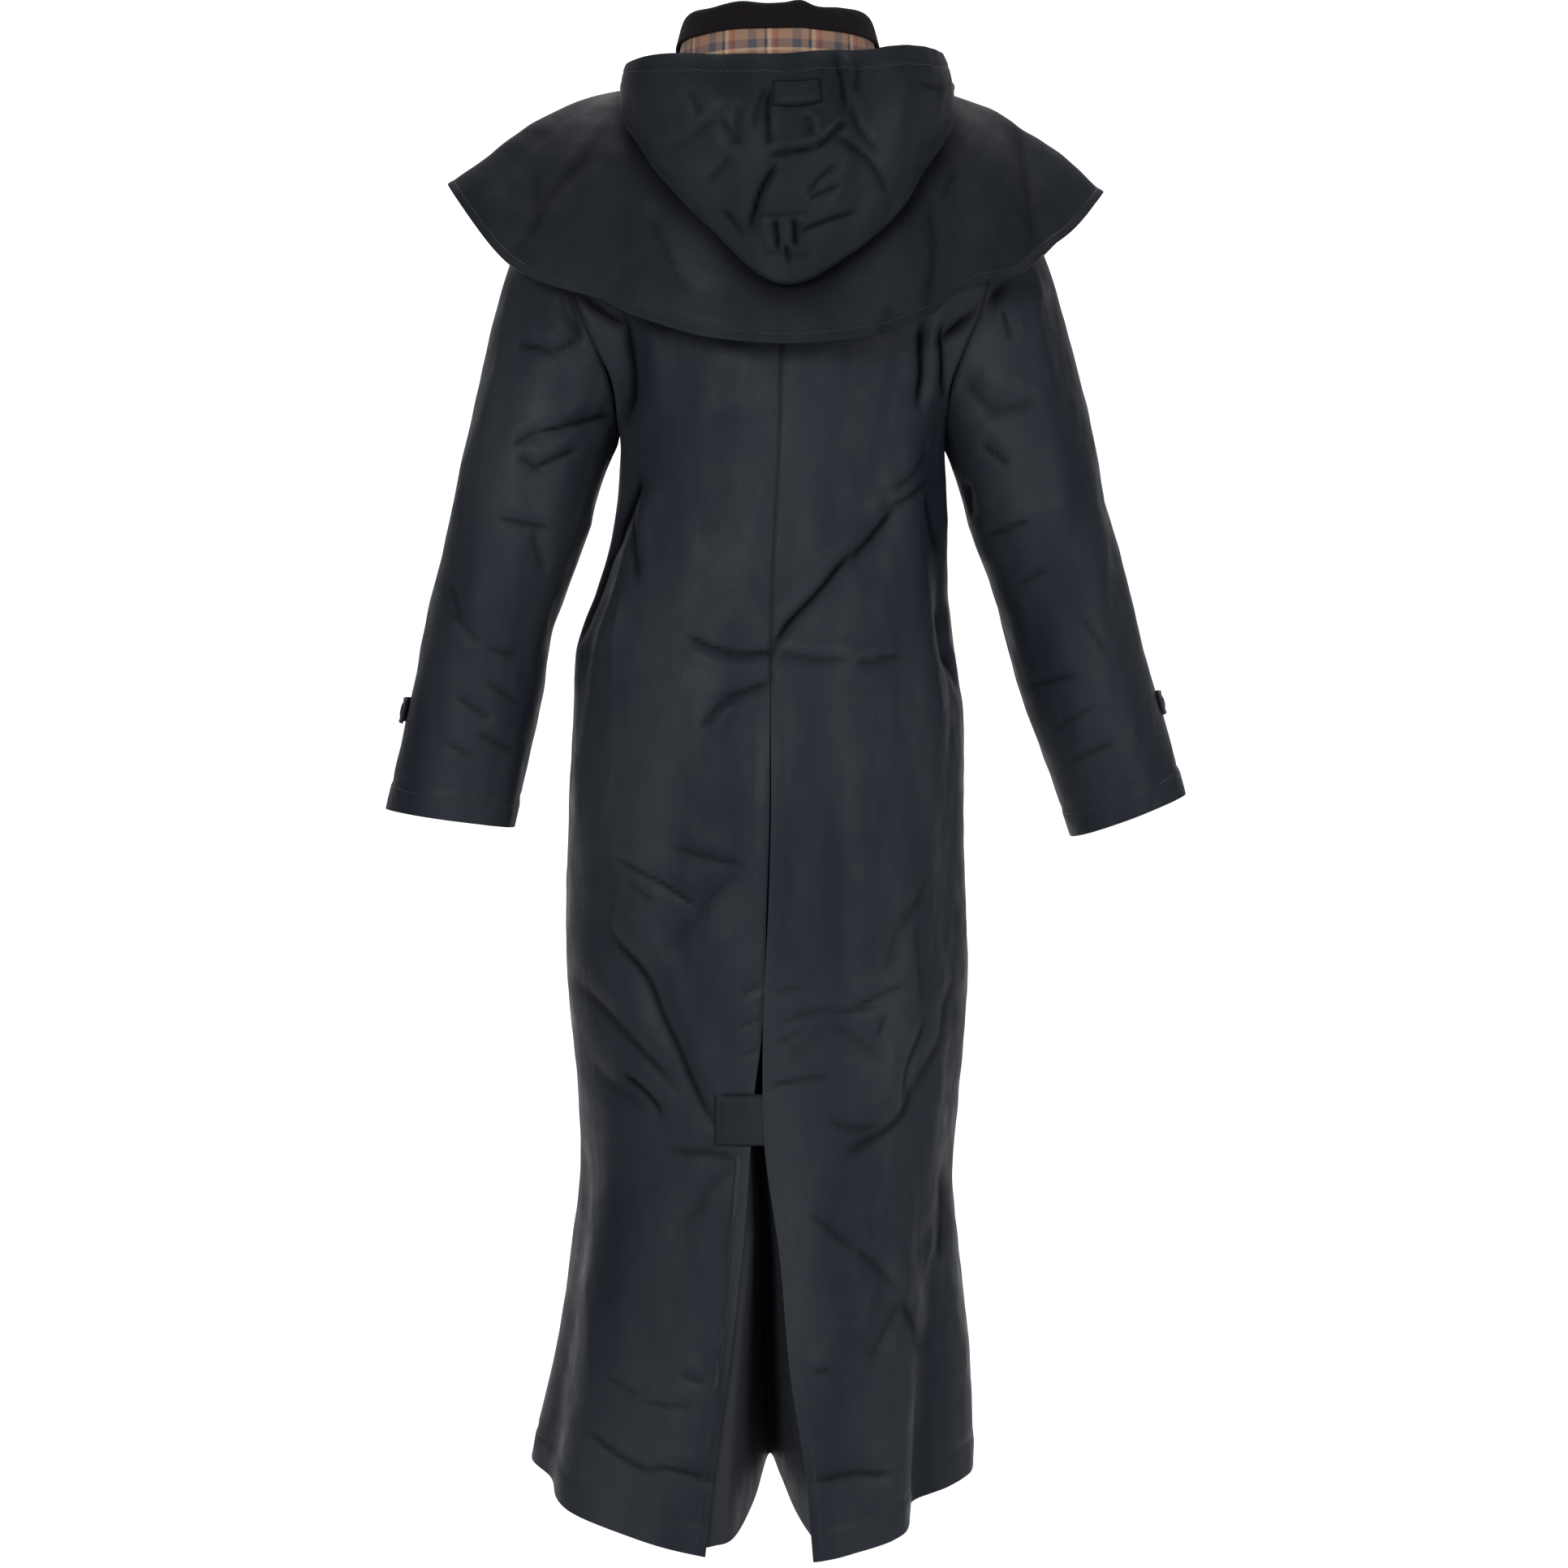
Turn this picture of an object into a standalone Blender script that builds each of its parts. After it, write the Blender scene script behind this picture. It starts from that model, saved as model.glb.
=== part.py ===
# Long riding coat with a shoulder cape and a hanging hood, kept in its worn form with nobody inside.
# Metres. +X is the wearer's right, +Y the front, +Z up. The origin lies in the neck opening, at the
# height where the coat rests on the shoulders.
import math

import bpy
import numpy as np
from mathutils import Vector

# Cloth and seams
CLOTH = 0.0016
COLLAR_CLOTH = 0.0020
LINING_CLOTH = 0.0010
GUSSET_CLOTH = 0.0012
TAB_CLOTH = 0.0014
SEAM_GAP = 0.0003
SEAM_SHARE = 0.75
GUSSET_CLEAR = 0.0008

# Body
ARMPIT_HEIGHT = -0.335
BODY_SQUARENESS = 2.3
SHOULDER_START = 0.40
NECK_EASE = 0.0040
NECK_DROP_BACK = -0.0055
NECK_DROP_FRONT = -0.0095
LAP_STEP = 0.0034
LAP_REACH_DEG = 18.0
VENT_TOP = -0.56
VENT_LAP = 0.0044
VENT_LAP_SPREAD = 0.035
HEM_BACK = -1.322
HEM_SIDE = -1.268
HEM_FRONT = -1.300
HEM_CURVE = 1.9
VENT_LAP_START = -0.570
VENT_LAP_FULL = -0.680
LAP_COLUMNS = 3
LAP_FADE = 0.6
SIDE_BLEND = 4
ARMHOLE_MIDDLE = (0.175, 0.0, -0.215)
ARMHOLE_OWN_BELOW = -0.305
ARMHOLE_SHARED_ABOVE = -0.240

# Neck
NECK_LEFT = 0.0920
NECK_RIGHT = 0.0865
NECK_BACK = 0.0785
NECK_FRONT = 0.0880
NECK_STEP_DEG = 7.5
CAPE_ENDS_DEG = 172.5
COLLAR_ENDS_DEG = 165.0
HOOD_ENDS_DEG = 112.5

# Small pieces
STRAP_CLOTH = 0.0018
GUSSET_TOP = -0.600
GUSSET_HEM = -1.312
GUSSET_HEM_LIFT = 0.046
GUSSET_UNDER = 0.012
GUSSET_COLUMNS = 15
GUSSET_ROWS = 12
GUSSET_LAP_START = 0.4
GUSSET_LAP_FULL = 0.7
TAB_ACROSS = (-0.0575, -0.0070, 7)
TAB_HEIGHTS = (-0.966, -0.921, 5)
TAB_LIFT = 0.00054
CUFF_STRAP_WAYS = (166.0, 290.0, 13)
CUFF_STRAP_HEIGHTS = (-0.6065, -0.5835, 4)
CUFF_LOOP_STAND = 0.0040
CUFF_LOOP_WAY = 180.0
CUFF_LOOP_SPREAD = 14.0
STRAP_LIFT = 0.0006
STUD_RADIUS = 0.0075
STUD_HEIGHT = 0.0026
STUD_ACROSS_DEG = 172.5
STUD_SIDES = 16
STUD_EDGE = 0.0007
STUD_LIFT = 0.00048
TOP_STUD_RISE = 0.15
STUD_COLUMN = 1


def table(names, rows):
    """Rows of numbers whose columns carry names."""
    return np.array([tuple(row) for row in rows], dtype=[(name, float) for name in names.split()])


# Half widths and depths of the coat's oval section at each height
BODY = table("height left right back front", [
    (-1.3300, 0.2360, 0.1760, 0.200, 0.190),
    (-1.2640, 0.2280, 0.1770, 0.195, 0.185),
    (-1.1700, 0.2080, 0.1730, 0.185, 0.175),
    (-1.0800, 0.1930, 0.1640, 0.175, 0.168),
    (-1.0050, 0.1840, 0.1580, 0.168, 0.160),
    (-0.9300, 0.1870, 0.1630, 0.163, 0.155),
    (-0.8370, 0.1965, 0.1720, 0.162, 0.152),
    (-0.6750, 0.1950, 0.1690, 0.158, 0.150),
    (-0.5740, 0.1900, 0.1670, 0.148, 0.145),
    (-0.5200, 0.1870, 0.1590, 0.141, 0.140),
    (-0.4650, 0.1690, 0.1540, 0.134, 0.136),
    (-0.4240, 0.1570, 0.1540, 0.130, 0.134),
    (-0.3350, 0.1470, 0.1490, 0.130, 0.130),
])

# The two edges of the back vent, and the centre seam above it, measured across from the middle
VENT = table("height left right", [
    (-1.330, -0.0660, 0.0280),
    (-1.240, -0.0560, 0.0200),
    (-1.169, -0.0460, 0.0090),
    (-1.056, -0.0330, -0.0014),
    (-0.964, -0.0260, -0.0140),
    (-0.918, -0.0226, -0.0155),
    (-0.886, -0.0190, -0.0150),
    (-0.745, -0.0130, -0.0100),
    (-0.674, -0.0110, -0.0080),
    (-0.600, -0.0105, -0.0085),
    (-0.560, -0.0090, -0.0086),
    (-0.530, -0.0085, -0.0085),
    (-0.400, -0.0040, -0.0040),
    (-0.335, 0.0000, 0.0000),
])

# Large folds of the skirt: where each starts and ends, how far it moves the cloth and how wide it is
FOLDS = table("top low turn_top turn_low move spread", [
    (-0.36, -0.62, -66.0, -76.0, -0.010, 9.0),
    (-0.36, -0.66, 70.0, 74.0, -0.006, 9.0),
    (-0.95, -1.40, 58.0, 52.0, -0.030, 11.0),
    (-0.95, -1.40, 37.0, 33.0, 0.006, 9.0),
    (-0.70, -1.40, -52.0, -50.0, 0.007, 10.0),
    (-0.90, -1.40, -74.0, -70.0, -0.010, 9.0),
    (-0.80, -1.40, 120.0, 116.0, -0.012, 12.0),
    (-0.80, -1.40, -122.0, -118.0, -0.012, 12.0),
])

# Depth of the gusset's inward pleat at each height
PLEAT = table("height depth", [
    (-1.330, 0.205),
    (-1.200, 0.160),
    (-1.060, 0.100),
    (-0.920, 0.048),
    (-0.760, 0.020),
    (-0.600, 0.006),
])

# Shape of that pleat across the vent, from the left edge to the right one
PLEAT_SHAPE = table("part share", [
    (0.00, 0.00),
    (0.15, 0.03),
    (0.32, 0.14),
    (0.46, 0.52),
    (0.58, 1.00),
    (0.66, 0.78),
    (0.78, 0.40),
    (0.90, 0.14),
    (1.00, 0.00),
])

# The armhole seam, from the armpit round the back, over the shoulder and down the front
ARMHOLE = table("way across depth height", [
    (0.0, 0.1480, 0.000, -0.335),
    (45.0, 0.1560, -0.064, -0.288),
    (90.0, 0.1870, -0.085, -0.210),
    (135.0, 0.2000, -0.054, -0.125),
    (180.0, 0.2000, 0.000, -0.078),
    (225.0, 0.1900, 0.054, -0.125),
    (270.0, 0.1730, 0.082, -0.212),
    (315.0, 0.1550, 0.062, -0.292),
    (360.0, 0.1480, 0.000, -0.335),
])

# How the centre line of the yoke leaves the armpit height and reaches the neck, for the back and the front
YOKE_PULLS = {
    True: ((0.0, -0.004, 0.140), (0.0, -0.022, -0.055)),
    False: ((0.0, 0.004, 0.110), (0.0, 0.018, -0.060)),
}

# The sleeves below the upper arm: middle, half width and half depth at each height
SLEEVE_LEFT = table("height across forward half_width half_depth", [
    (-0.6810, 0.3060, 0.020, 0.0600, 0.060),
    (-0.6000, 0.2885, 0.014, 0.0600, 0.064),
    (-0.5630, 0.2805, 0.010, 0.0595, 0.066),
    (-0.4900, 0.2665, 0.006, 0.0570, 0.070),
    (-0.4580, 0.2560, 0.004, 0.0585, 0.072),
    (-0.4000, 0.2380, 0.000, 0.0640, 0.078),
])
SLEEVE_RIGHT = table("height across forward half_width half_depth", [
    (-0.6780, 0.3230, 0.020, 0.0545, 0.060),
    (-0.6100, 0.3000, 0.014, 0.0570, 0.064),
    (-0.5700, 0.2870, 0.010, 0.0585, 0.066),
    (-0.4880, 0.2640, 0.006, 0.0605, 0.070),
    (-0.4430, 0.2510, 0.004, 0.0620, 0.072),
    (-0.4000, 0.2365, 0.000, 0.0635, 0.078),
])
CUFF_TILT = {-1: 0.002, 1: 0.011}
CUFF_TILT_START = -0.560
CUFF_TILT_FULL = -0.676
ARM_STEP = 0.004

# The neck seam falls towards the front
NECK_HEIGHT = table("turn height", [
    (0.0, -0.010),
    (45.0, -0.010),
    (90.0, -0.013),
    (135.0, -0.036),
    (180.0, -0.068),
])

# The lower edge of the cape, round from the left front over the back to the right front
CAPE_HEM = table("turn across depth height", [
    (-172.5, -0.020, 0.180, -0.262),
    (-150.0, -0.115, 0.172, -0.246),
    (-130.0, -0.190, 0.138, -0.205),
    (-115.0, -0.243, 0.092, -0.160),
    (-100.0, -0.288, 0.036, -0.116),
    (-90.0, -0.3065, -0.010, -0.098),
    (-78.5, -0.2830, -0.046, -0.135),
    (-67.5, -0.2580, -0.075, -0.169),
    (-60.0, -0.2430, -0.098, -0.185),
    (-52.5, -0.2180, -0.120, -0.202),
    (-45.0, -0.1920, -0.136, -0.213),
    (-37.5, -0.1610, -0.150, -0.223),
    (-30.0, -0.1330, -0.162, -0.239),
    (-20.0, -0.0920, -0.170, -0.253),
    (-10.0, -0.0480, -0.177, -0.263),
    (0.0, -0.0010, -0.179, -0.267),
    (10.0, 0.0460, -0.177, -0.265),
    (20.0, 0.0900, -0.170, -0.256),
    (30.0, 0.1310, -0.160, -0.240),
    (37.5, 0.1560, -0.150, -0.219),
    (45.0, 0.1850, -0.136, -0.206),
    (52.5, 0.2140, -0.120, -0.196),
    (60.0, 0.2350, -0.098, -0.176),
    (75.0, 0.2710, -0.052, -0.141),
    (90.0, 0.2970, -0.010, -0.105),
    (100.0, 0.2790, 0.036, -0.122),
    (115.0, 0.2350, 0.092, -0.162),
    (130.0, 0.1850, 0.138, -0.205),
    (150.0, 0.1120, 0.172, -0.246),
    (172.5, 0.0200, 0.180, -0.262),
])
CAPE_LIFT_NECK = 0.042
CAPE_LIFT_HEM = 0.012
CAPE_NECK_OUT = 0.0002
CAPE_NECK_UP = 0.0032
CAPE_ROWS = 10
PROBE_FALL = 0.002
PROBE_TURN = 0.5

# The hood: how far down the cape its bottom fold lies, and where its rim runs
HOOD = table("turn bottom rim_across rim_depth rim_height swell", [
    (-112.5, 0.08, -0.106, 0.046, -0.004, 0.002),
    (-90.0, 0.13, -0.132, -0.016, 0.004, 0.002),
    (-75.0, 0.19, -0.134, -0.080, -0.010, 0.002),
    (-60.0, 0.25, -0.135, -0.140, -0.016, 0.004),
    (-45.0, 0.37, -0.115, -0.178, -0.017, 0.013),
    (-30.0, 0.51, -0.080, -0.196, -0.019, 0.022),
    (-15.0, 0.65, -0.040, -0.204, -0.021, 0.028),
    (0.0, 0.80, 0.004, -0.206, -0.021, 0.030),
    (15.0, 0.72, 0.047, -0.204, -0.018, 0.028),
    (30.0, 0.60, 0.088, -0.196, -0.013, 0.023),
    (45.0, 0.46, 0.124, -0.178, -0.009, 0.014),
    (60.0, 0.32, 0.143, -0.140, -0.006, 0.004),
    (75.0, 0.25, 0.140, -0.080, -0.004, 0.002),
    (90.0, 0.17, 0.133, -0.016, 0.004, 0.002),
    (112.5, 0.10, 0.106, 0.046, -0.004, 0.002),
])
HOOD_NECK_RISE = 0.042
HOOD_NECK_LEAN = 0.0042
HOOD_CLEAR = 0.0020
LINING_CLEAR = 0.0013
HOOD_FOLD = 0.011
HOOD_FOLD_LEAST = 0.005
HOOD_FOLD_FULL_AT = 0.5
HOOD_FOLD_BENDS = np.radians([40.0, 90.0, 140.0])
HOOD_STAND_ROWS = 3
HOOD_STAND_FOOT = 0.40
HOOD_STAND_OUT = 0.0006
HOOD_FALL_START = 0.05
HOOD_FAR_ROWS = 6
HOOD_NEAR_ROWS = 6
LINING_SHORT_ROWS = 2
HOOD_STRAP_TURNS = (-3.0, 9.0, 5)
HOOD_STRAP_NEAR_ROWS = 48
HOOD_STRAP_ROWS = slice(-13, -7)

# Section of the collar from the foot of its stand over the fold to the edge of its leaf
COLLAR = table("out up", [
    (-0.0023, -0.010),
    (-0.0030, 0.0120),
    (-0.0055, 0.0320),
    (-0.0090, 0.0500),
    (-0.0098, 0.0570),
    (-0.0082, 0.0615),
    (-0.0050, 0.0630),
    (-0.0016, 0.0610),
    (0.0006, 0.0565),
    (0.0028, 0.0490),
    (0.0052, 0.0400),
])

# Heights of the front studs
STUDS = (-0.30, -0.46, -0.62, -0.78, -0.94)

# Colours and finish of each cloth
FINISHES = {
    "navy": ((0.0130, 0.0150, 0.0210), 0.55, 0.0),
    "collar_navy": ((0.0060, 0.0060, 0.0100), 0.90, 0.0),
    "check": ((0.2300, 0.1450, 0.0850), 0.90, 0.0),
    "stud_metal": ((0.1200, 0.1150, 0.1100), 0.35, 1.0),
}


def smooth(rows, key, name, place):
    """Value of a named column at places along the key column, on a smooth curve through the rows."""
    keys = rows[key]
    values = rows[name]
    slopes = np.gradient(values, keys)
    place = np.clip(place, keys[0], keys[-1])
    low = np.clip(np.searchsorted(keys, place, side="right") - 1, 0, len(keys) - 2)
    step = keys[low + 1] - keys[low]
    part = (place - keys[low]) / step
    rise = part * part * (3.0 - 2.0 * part)
    bend = part * (1.0 - part) * step
    start = bend * (1.0 - part) * slopes[low]
    end = bend * part * slopes[low + 1]
    return values[low] * (1.0 - rise) + values[low + 1] * rise + start - end


def ease(value, start, end):
    """Soft step from 0 at start to 1 at end."""
    part = np.clip((value - start) / (end - start), 0.0, 1.0)
    return part * part * (3.0 - 2.0 * part)


def points(x, y, z):
    """One array of points from three arrays of coordinates."""
    return np.stack(np.broadcast_arrays(x, y, z), axis=-1).astype(float)


def unit(vectors):
    """Vectors brought to length one."""
    return vectors / np.maximum(np.linalg.norm(vectors, axis=-1, keepdims=True), 1e-12)


def grid_normals(grid, side, closed=False):
    """Surface directions of a grid of points; closed means that the columns run all round."""
    if closed:
        around = np.roll(grid, -1, axis=1) - np.roll(grid, 1, axis=1)
    else:
        around = np.gradient(grid, axis=1)
    along = np.gradient(grid, axis=0)
    return unit(np.cross(around, along)) * side


def pull_back(grid, rows=True, columns=True):
    """Draw the borders of a panel in by half a seam gap."""
    moved = grid.copy()
    half = SEAM_GAP * SEAM_SHARE
    if rows:
        moved[0] = grid[0] + unit(grid[1] - grid[0]) * half
        moved[-1] = grid[-1] + unit(grid[-2] - grid[-1]) * half
    if columns:
        moved[:, 0] = moved[:, 0] + unit(grid[:, 1] - grid[:, 0]) * half
        moved[:, -1] = moved[:, -1] + unit(grid[:, -2] - grid[:, -1]) * half
    return moved


def material(name):
    """Plain material with the colour and finish of one cloth."""
    if name in bpy.data.materials:
        return bpy.data.materials[name]
    colour, roughness, metallic = FINISHES[name]
    made = bpy.data.materials.new(name)
    made.use_nodes = True
    shader = made.node_tree.nodes["Principled BSDF"]
    shader.inputs["Base Color"].default_value = (*colour, 1.0)
    shader.inputs["Roughness"].default_value = roughness
    shader.inputs["Metallic"].default_value = metallic
    return made


def add_object(name, corners, faces, cloth):
    """Put a mesh in the scene under its name."""
    mesh = bpy.data.meshes.new(name)
    mesh.from_pydata([tuple(corner) for corner in corners], [], faces)
    mesh.validate()
    mesh.materials.append(material(cloth))
    made = bpy.data.objects.new(name, mesh)
    bpy.context.scene.collection.objects.link(made)
    return made


def wall(name, outer, normals, thickness, cloth, closed=False):
    """Closed cloth wall between a grid of outer points and the same points moved inwards."""
    rows, columns = outer.shape[:2]
    inner = outer - normals * thickness
    corners = np.concatenate([outer.reshape(-1, 3), inner.reshape(-1, 3)])
    number = np.arange(rows * columns).reshape(rows, columns)
    under = number + rows * columns
    last = columns if closed else columns - 1
    faces = []
    for row in range(rows - 1):
        for column in range(last):
            beside = (column + 1) % columns
            ring = (number[row, column], number[row, beside],
                    number[row + 1, beside], number[row + 1, column])
            faces.append(ring)
            faces.append(tuple(corner + rows * columns for corner in reversed(ring)))
    for column in range(last):
        beside = (column + 1) % columns
        faces.append((number[0, beside], number[0, column], under[0, column], under[0, beside]))
        faces.append((number[-1, column], number[-1, beside], under[-1, beside], under[-1, column]))
    if not closed:
        for row in range(rows - 1):
            faces.append((number[row, 0], number[row + 1, 0], under[row + 1, 0], under[row, 0]))
            faces.append((number[row + 1, -1], number[row, -1], under[row, -1], under[row + 1, -1]))
    first = corners[list(faces[0])]
    facing = np.cross(first[1] - first[0], first[2] - first[0]) @ normals[0, 0]
    if facing < 0.0:
        faces = [tuple(reversed(face)) for face in faces]
    faces = [tuple(int(corner) for corner in face) for face in faces]
    return add_object(name, corners, faces, cloth)


def fold_move(turn, height):
    """How far the large folds move the cloth of the skirt out or in."""
    total = np.zeros(np.broadcast(turn, height).shape)
    for fold in FOLDS:
        part = np.clip((fold["top"] - height) / (fold["top"] - fold["low"]), 0.0, 1.0)
        middle = fold["turn_top"] + (fold["turn_low"] - fold["turn_top"]) * part
        if fold["low"] < HEM_BACK:
            strength = ease(part, 0.0, 0.8)
        else:
            strength = np.sin(np.pi * part) ** 2
        total = total + fold["move"] * strength * np.exp(-((turn - middle) / fold["spread"]) ** 2)
    return total


def body_ring(turn, height, out=0.0):
    """Point of the coat below the armpits: an oval at each height, moved by the large folds."""
    angle = np.radians(turn)
    across = np.sin(angle)
    ahead = -np.cos(angle)
    left = smooth(BODY, "height", "left", height)
    right = smooth(BODY, "height", "right", height)
    back = smooth(BODY, "height", "back", height)
    front = smooth(BODY, "height", "front", height)
    width = np.where(across < 0.0, left, right)
    depth = np.where(ahead < 0.0, back, front)
    fullness = np.maximum(1.0 - np.abs(across) ** BODY_SQUARENESS, 0.0) ** (1.0 / BODY_SQUARENESS)
    place_x = width * across
    place_y = depth * np.sign(ahead) * fullness
    way = unit(points(across * depth, ahead * width, 0.0 * height))
    shift = fold_move(turn, height) + out
    return points(place_x, place_y, height) + way * np.asarray(shift)[..., None]


def turn_at(across, height):
    """Turn on the back at which the coat's oval lies a given distance across from the middle."""
    left = smooth(BODY, "height", "left", height)
    right = smooth(BODY, "height", "right", height)
    width = np.where(across < 0.0, left, right)
    return np.degrees(np.arcsin(np.clip(across / width, -1.0, 1.0)))


def hem_height(turn):
    """The hem dips at the centre back and a little at the front."""
    back = np.maximum(np.cos(np.radians(turn)), 0.0) ** HEM_CURVE
    front = np.maximum(-np.cos(np.radians(turn)), 0.0) ** HEM_CURVE
    return HEM_SIDE + (HEM_BACK - HEM_SIDE) * back + (HEM_FRONT - HEM_SIDE) * front


def neck(turn, out=0.0, up=0.0):
    """Point of the neck seam, moved out from the neck and up."""
    angle = np.radians(turn)
    across = np.sin(angle)
    ahead = -np.cos(angle)
    width = np.where(across < 0.0, NECK_LEFT, NECK_RIGHT) + out
    depth = np.where(ahead < 0.0, NECK_BACK, NECK_FRONT) + out
    height = smooth(NECK_HEIGHT, "turn", "height", np.abs(turn)) + up
    return points(width * across, depth * ahead, height)


def armhole(way, side):
    """Point of the armhole seam on one side."""
    across = smooth(ARMHOLE, "way", "across", way) * side
    depth = smooth(ARMHOLE, "way", "depth", way)
    return points(across, depth, smooth(ARMHOLE, "way", "height", way))


def armhole_way(way, side, own, height):
    """Seam direction shared by body and sleeve, so that their edges stay parallel."""
    middle = np.array(ARMHOLE_MIDDLE) * np.array([side, 1.0, 1.0])
    shared = unit(armhole(way, side) - middle)
    share = ease(height, ARMHOLE_OWN_BELOW, ARMHOLE_SHARED_ABOVE)[..., None]
    return unit(own * (1.0 - share) + shared * share)


def curve(start, first, second, end, part):
    """Point of a curve with two pulling points."""
    part = np.asarray(part)[..., None]
    rest = 1.0 - part
    return rest ** 3 * start + 3 * rest ** 2 * part * first + 3 * rest * part ** 2 * second + part ** 3 * end


def upper_body(side, back, reach, rise):
    """Yoke part of one panel: reach runs from the centre to the armhole, rise from armpit to shoulder."""
    reach = np.asarray(reach, float)
    rise = np.asarray(rise, float)
    centre_turn = 0.0 if back else 180.0 * side
    neck_drop = NECK_DROP_BACK if back else NECK_DROP_FRONT
    low = body_ring(centre_turn + (90.0 * side - centre_turn) * reach, np.full(reach.shape, ARMPIT_HEIGHT))
    low_side = armhole(np.array(0.0), side)
    ring_side = body_ring(np.array(90.0 * side), np.array(ARMPIT_HEIGHT))
    low = low + (low_side - ring_side) * reach[..., None] ** SIDE_BLEND
    neck_turn = np.minimum(reach / SHOULDER_START, 1.0) * 90.0 * side
    neck_turn = neck_turn if back else centre_turn - neck_turn
    towards_side = np.minimum(reach / SHOULDER_START, 1.0)
    neck_edge = neck(neck_turn, NECK_EASE, neck_drop + (NECK_DROP_BACK - neck_drop) * towards_side)
    tip = armhole(np.array(180.0), side)
    along = np.clip((reach - SHOULDER_START) / (1.0 - SHOULDER_START), 0.0, 1.0)[..., None]
    high = neck_edge + (tip - neck_edge) * along
    start = body_ring(np.array(centre_turn), np.array(ARMPIT_HEIGHT))
    end = neck(np.array(centre_turn), NECK_EASE, neck_drop)
    pull_low, pull_high = YOKE_PULLS[back]
    centre = curve(start, start + np.array(pull_low), end + np.array(pull_high), end, rise)
    way = 180.0 * rise if back else 360.0 - 180.0 * rise
    edge = armhole(way, side)
    reach = reach[..., None]
    rise = rise[..., None]
    corners = (1 - reach) * (1 - rise) * start + reach * (1 - rise) * low_side
    corners = corners + (1 - reach) * rise * end + reach * rise * tip
    return (1 - rise) * low + rise * high + (1 - reach) * centre + reach * edge - corners


def vent_edge(side, height):
    """How far across the inner edge of one back panel lies."""
    return smooth(VENT, "height", "left" if side < 0 else "right", height)


def vent_lap(across, height):
    """The right panel lies a little proud beside the vent, so that the tab can pass under it."""
    strength = ease(height, VENT_LAP_START, VENT_LAP_FULL)
    beside = (across - vent_edge(1, height)) / VENT_LAP_SPREAD
    return VENT_LAP * strength * np.exp(-beside ** 2)


def skirt_heights(turn, steps):
    """Heights of the skirt's rows, from the hem up to the armpits."""
    hem = hem_height(turn)
    return hem + (ARMPIT_HEIGHT - hem) * steps


BACK_REACH = np.array([[0.0, 0.04, 0.10, 0.18, 0.28, 0.40, 0.52, 0.64, 0.76, 0.88, 1.0]])
FRONT_REACH = np.array([[0.0, 0.10, 0.20, 0.30, 0.40, 0.52, 0.64, 0.76, 0.88, 1.0]])
SKIRT_STEPS = np.linspace(0.0, 1.0, 19)[:-1, None]
YOKE_STEPS = np.linspace(0.0, 1.0, 10)[:, None]


def back_panel(side):
    """Grid of one back panel from the hem to the shoulder, from the centre to the side."""
    reach = BACK_REACH
    rough = skirt_heights(90.0 * side * reach, SKIRT_STEPS)
    inner = turn_at(vent_edge(side, rough), rough)
    turn = inner + (90.0 * side - inner) * reach
    height = skirt_heights(turn, SKIRT_STEPS)
    skirt = body_ring(turn, height)
    if side > 0:
        skirt = body_ring(turn, height, vent_lap(skirt[..., 0], height))
    yoke = upper_body(side, True, reach + 0.0 * YOKE_STEPS, YOKE_STEPS + 0.0 * reach)
    return np.concatenate([skirt, yoke])


def front_panel(side):
    """Grid of one front from the hem to the shoulder; the left one laps past the centre."""
    reach = FRONT_REACH
    turn = 180.0 * side - 90.0 * side * reach
    skirt = body_ring(turn + 0.0 * SKIRT_STEPS, skirt_heights(turn, SKIRT_STEPS))
    yoke = upper_body(side, False, reach + 0.0 * YOKE_STEPS, YOKE_STEPS + 0.0 * reach)
    grid = np.concatenate([skirt, yoke])
    if side > 0:
        return grid
    past = np.array([[LAP_REACH_DEG, LAP_REACH_DEG / 2.0]])
    lap_turn = 180.0 - past
    lap_skirt = body_ring(lap_turn + 0.0 * SKIRT_STEPS, skirt_heights(lap_turn, SKIRT_STEPS))
    lap_yoke = upper_body(1, False, past / 90.0 + 0.0 * YOKE_STEPS, YOKE_STEPS + 0.0 * past)
    lap = np.concatenate([lap_skirt, lap_yoke])
    return np.concatenate([lap, grid], axis=1)


def build_back(name, side):
    """One back panel as a cloth wall."""
    grid = back_panel(side)
    skirt_rows = len(SKIRT_STEPS)
    normals = grid_normals(grid, 1.0 if side > 0 else -1.0)
    seam = grid[:, 0, 2] > VENT_TOP
    normals[seam, 0, 0] = 0.0
    normals[:skirt_rows, -1, 1] = 0.0
    normals[-1, BACK_REACH[0] >= SHOULDER_START, 1] = 0.0
    way = 180.0 * YOKE_STEPS[:, 0]
    normals[skirt_rows:, -1] = armhole_way(way, side, normals[skirt_rows:, -1], grid[skirt_rows:, -1, 2])
    wall(name, pull_back(grid), unit(normals), CLOTH, "navy")


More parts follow.
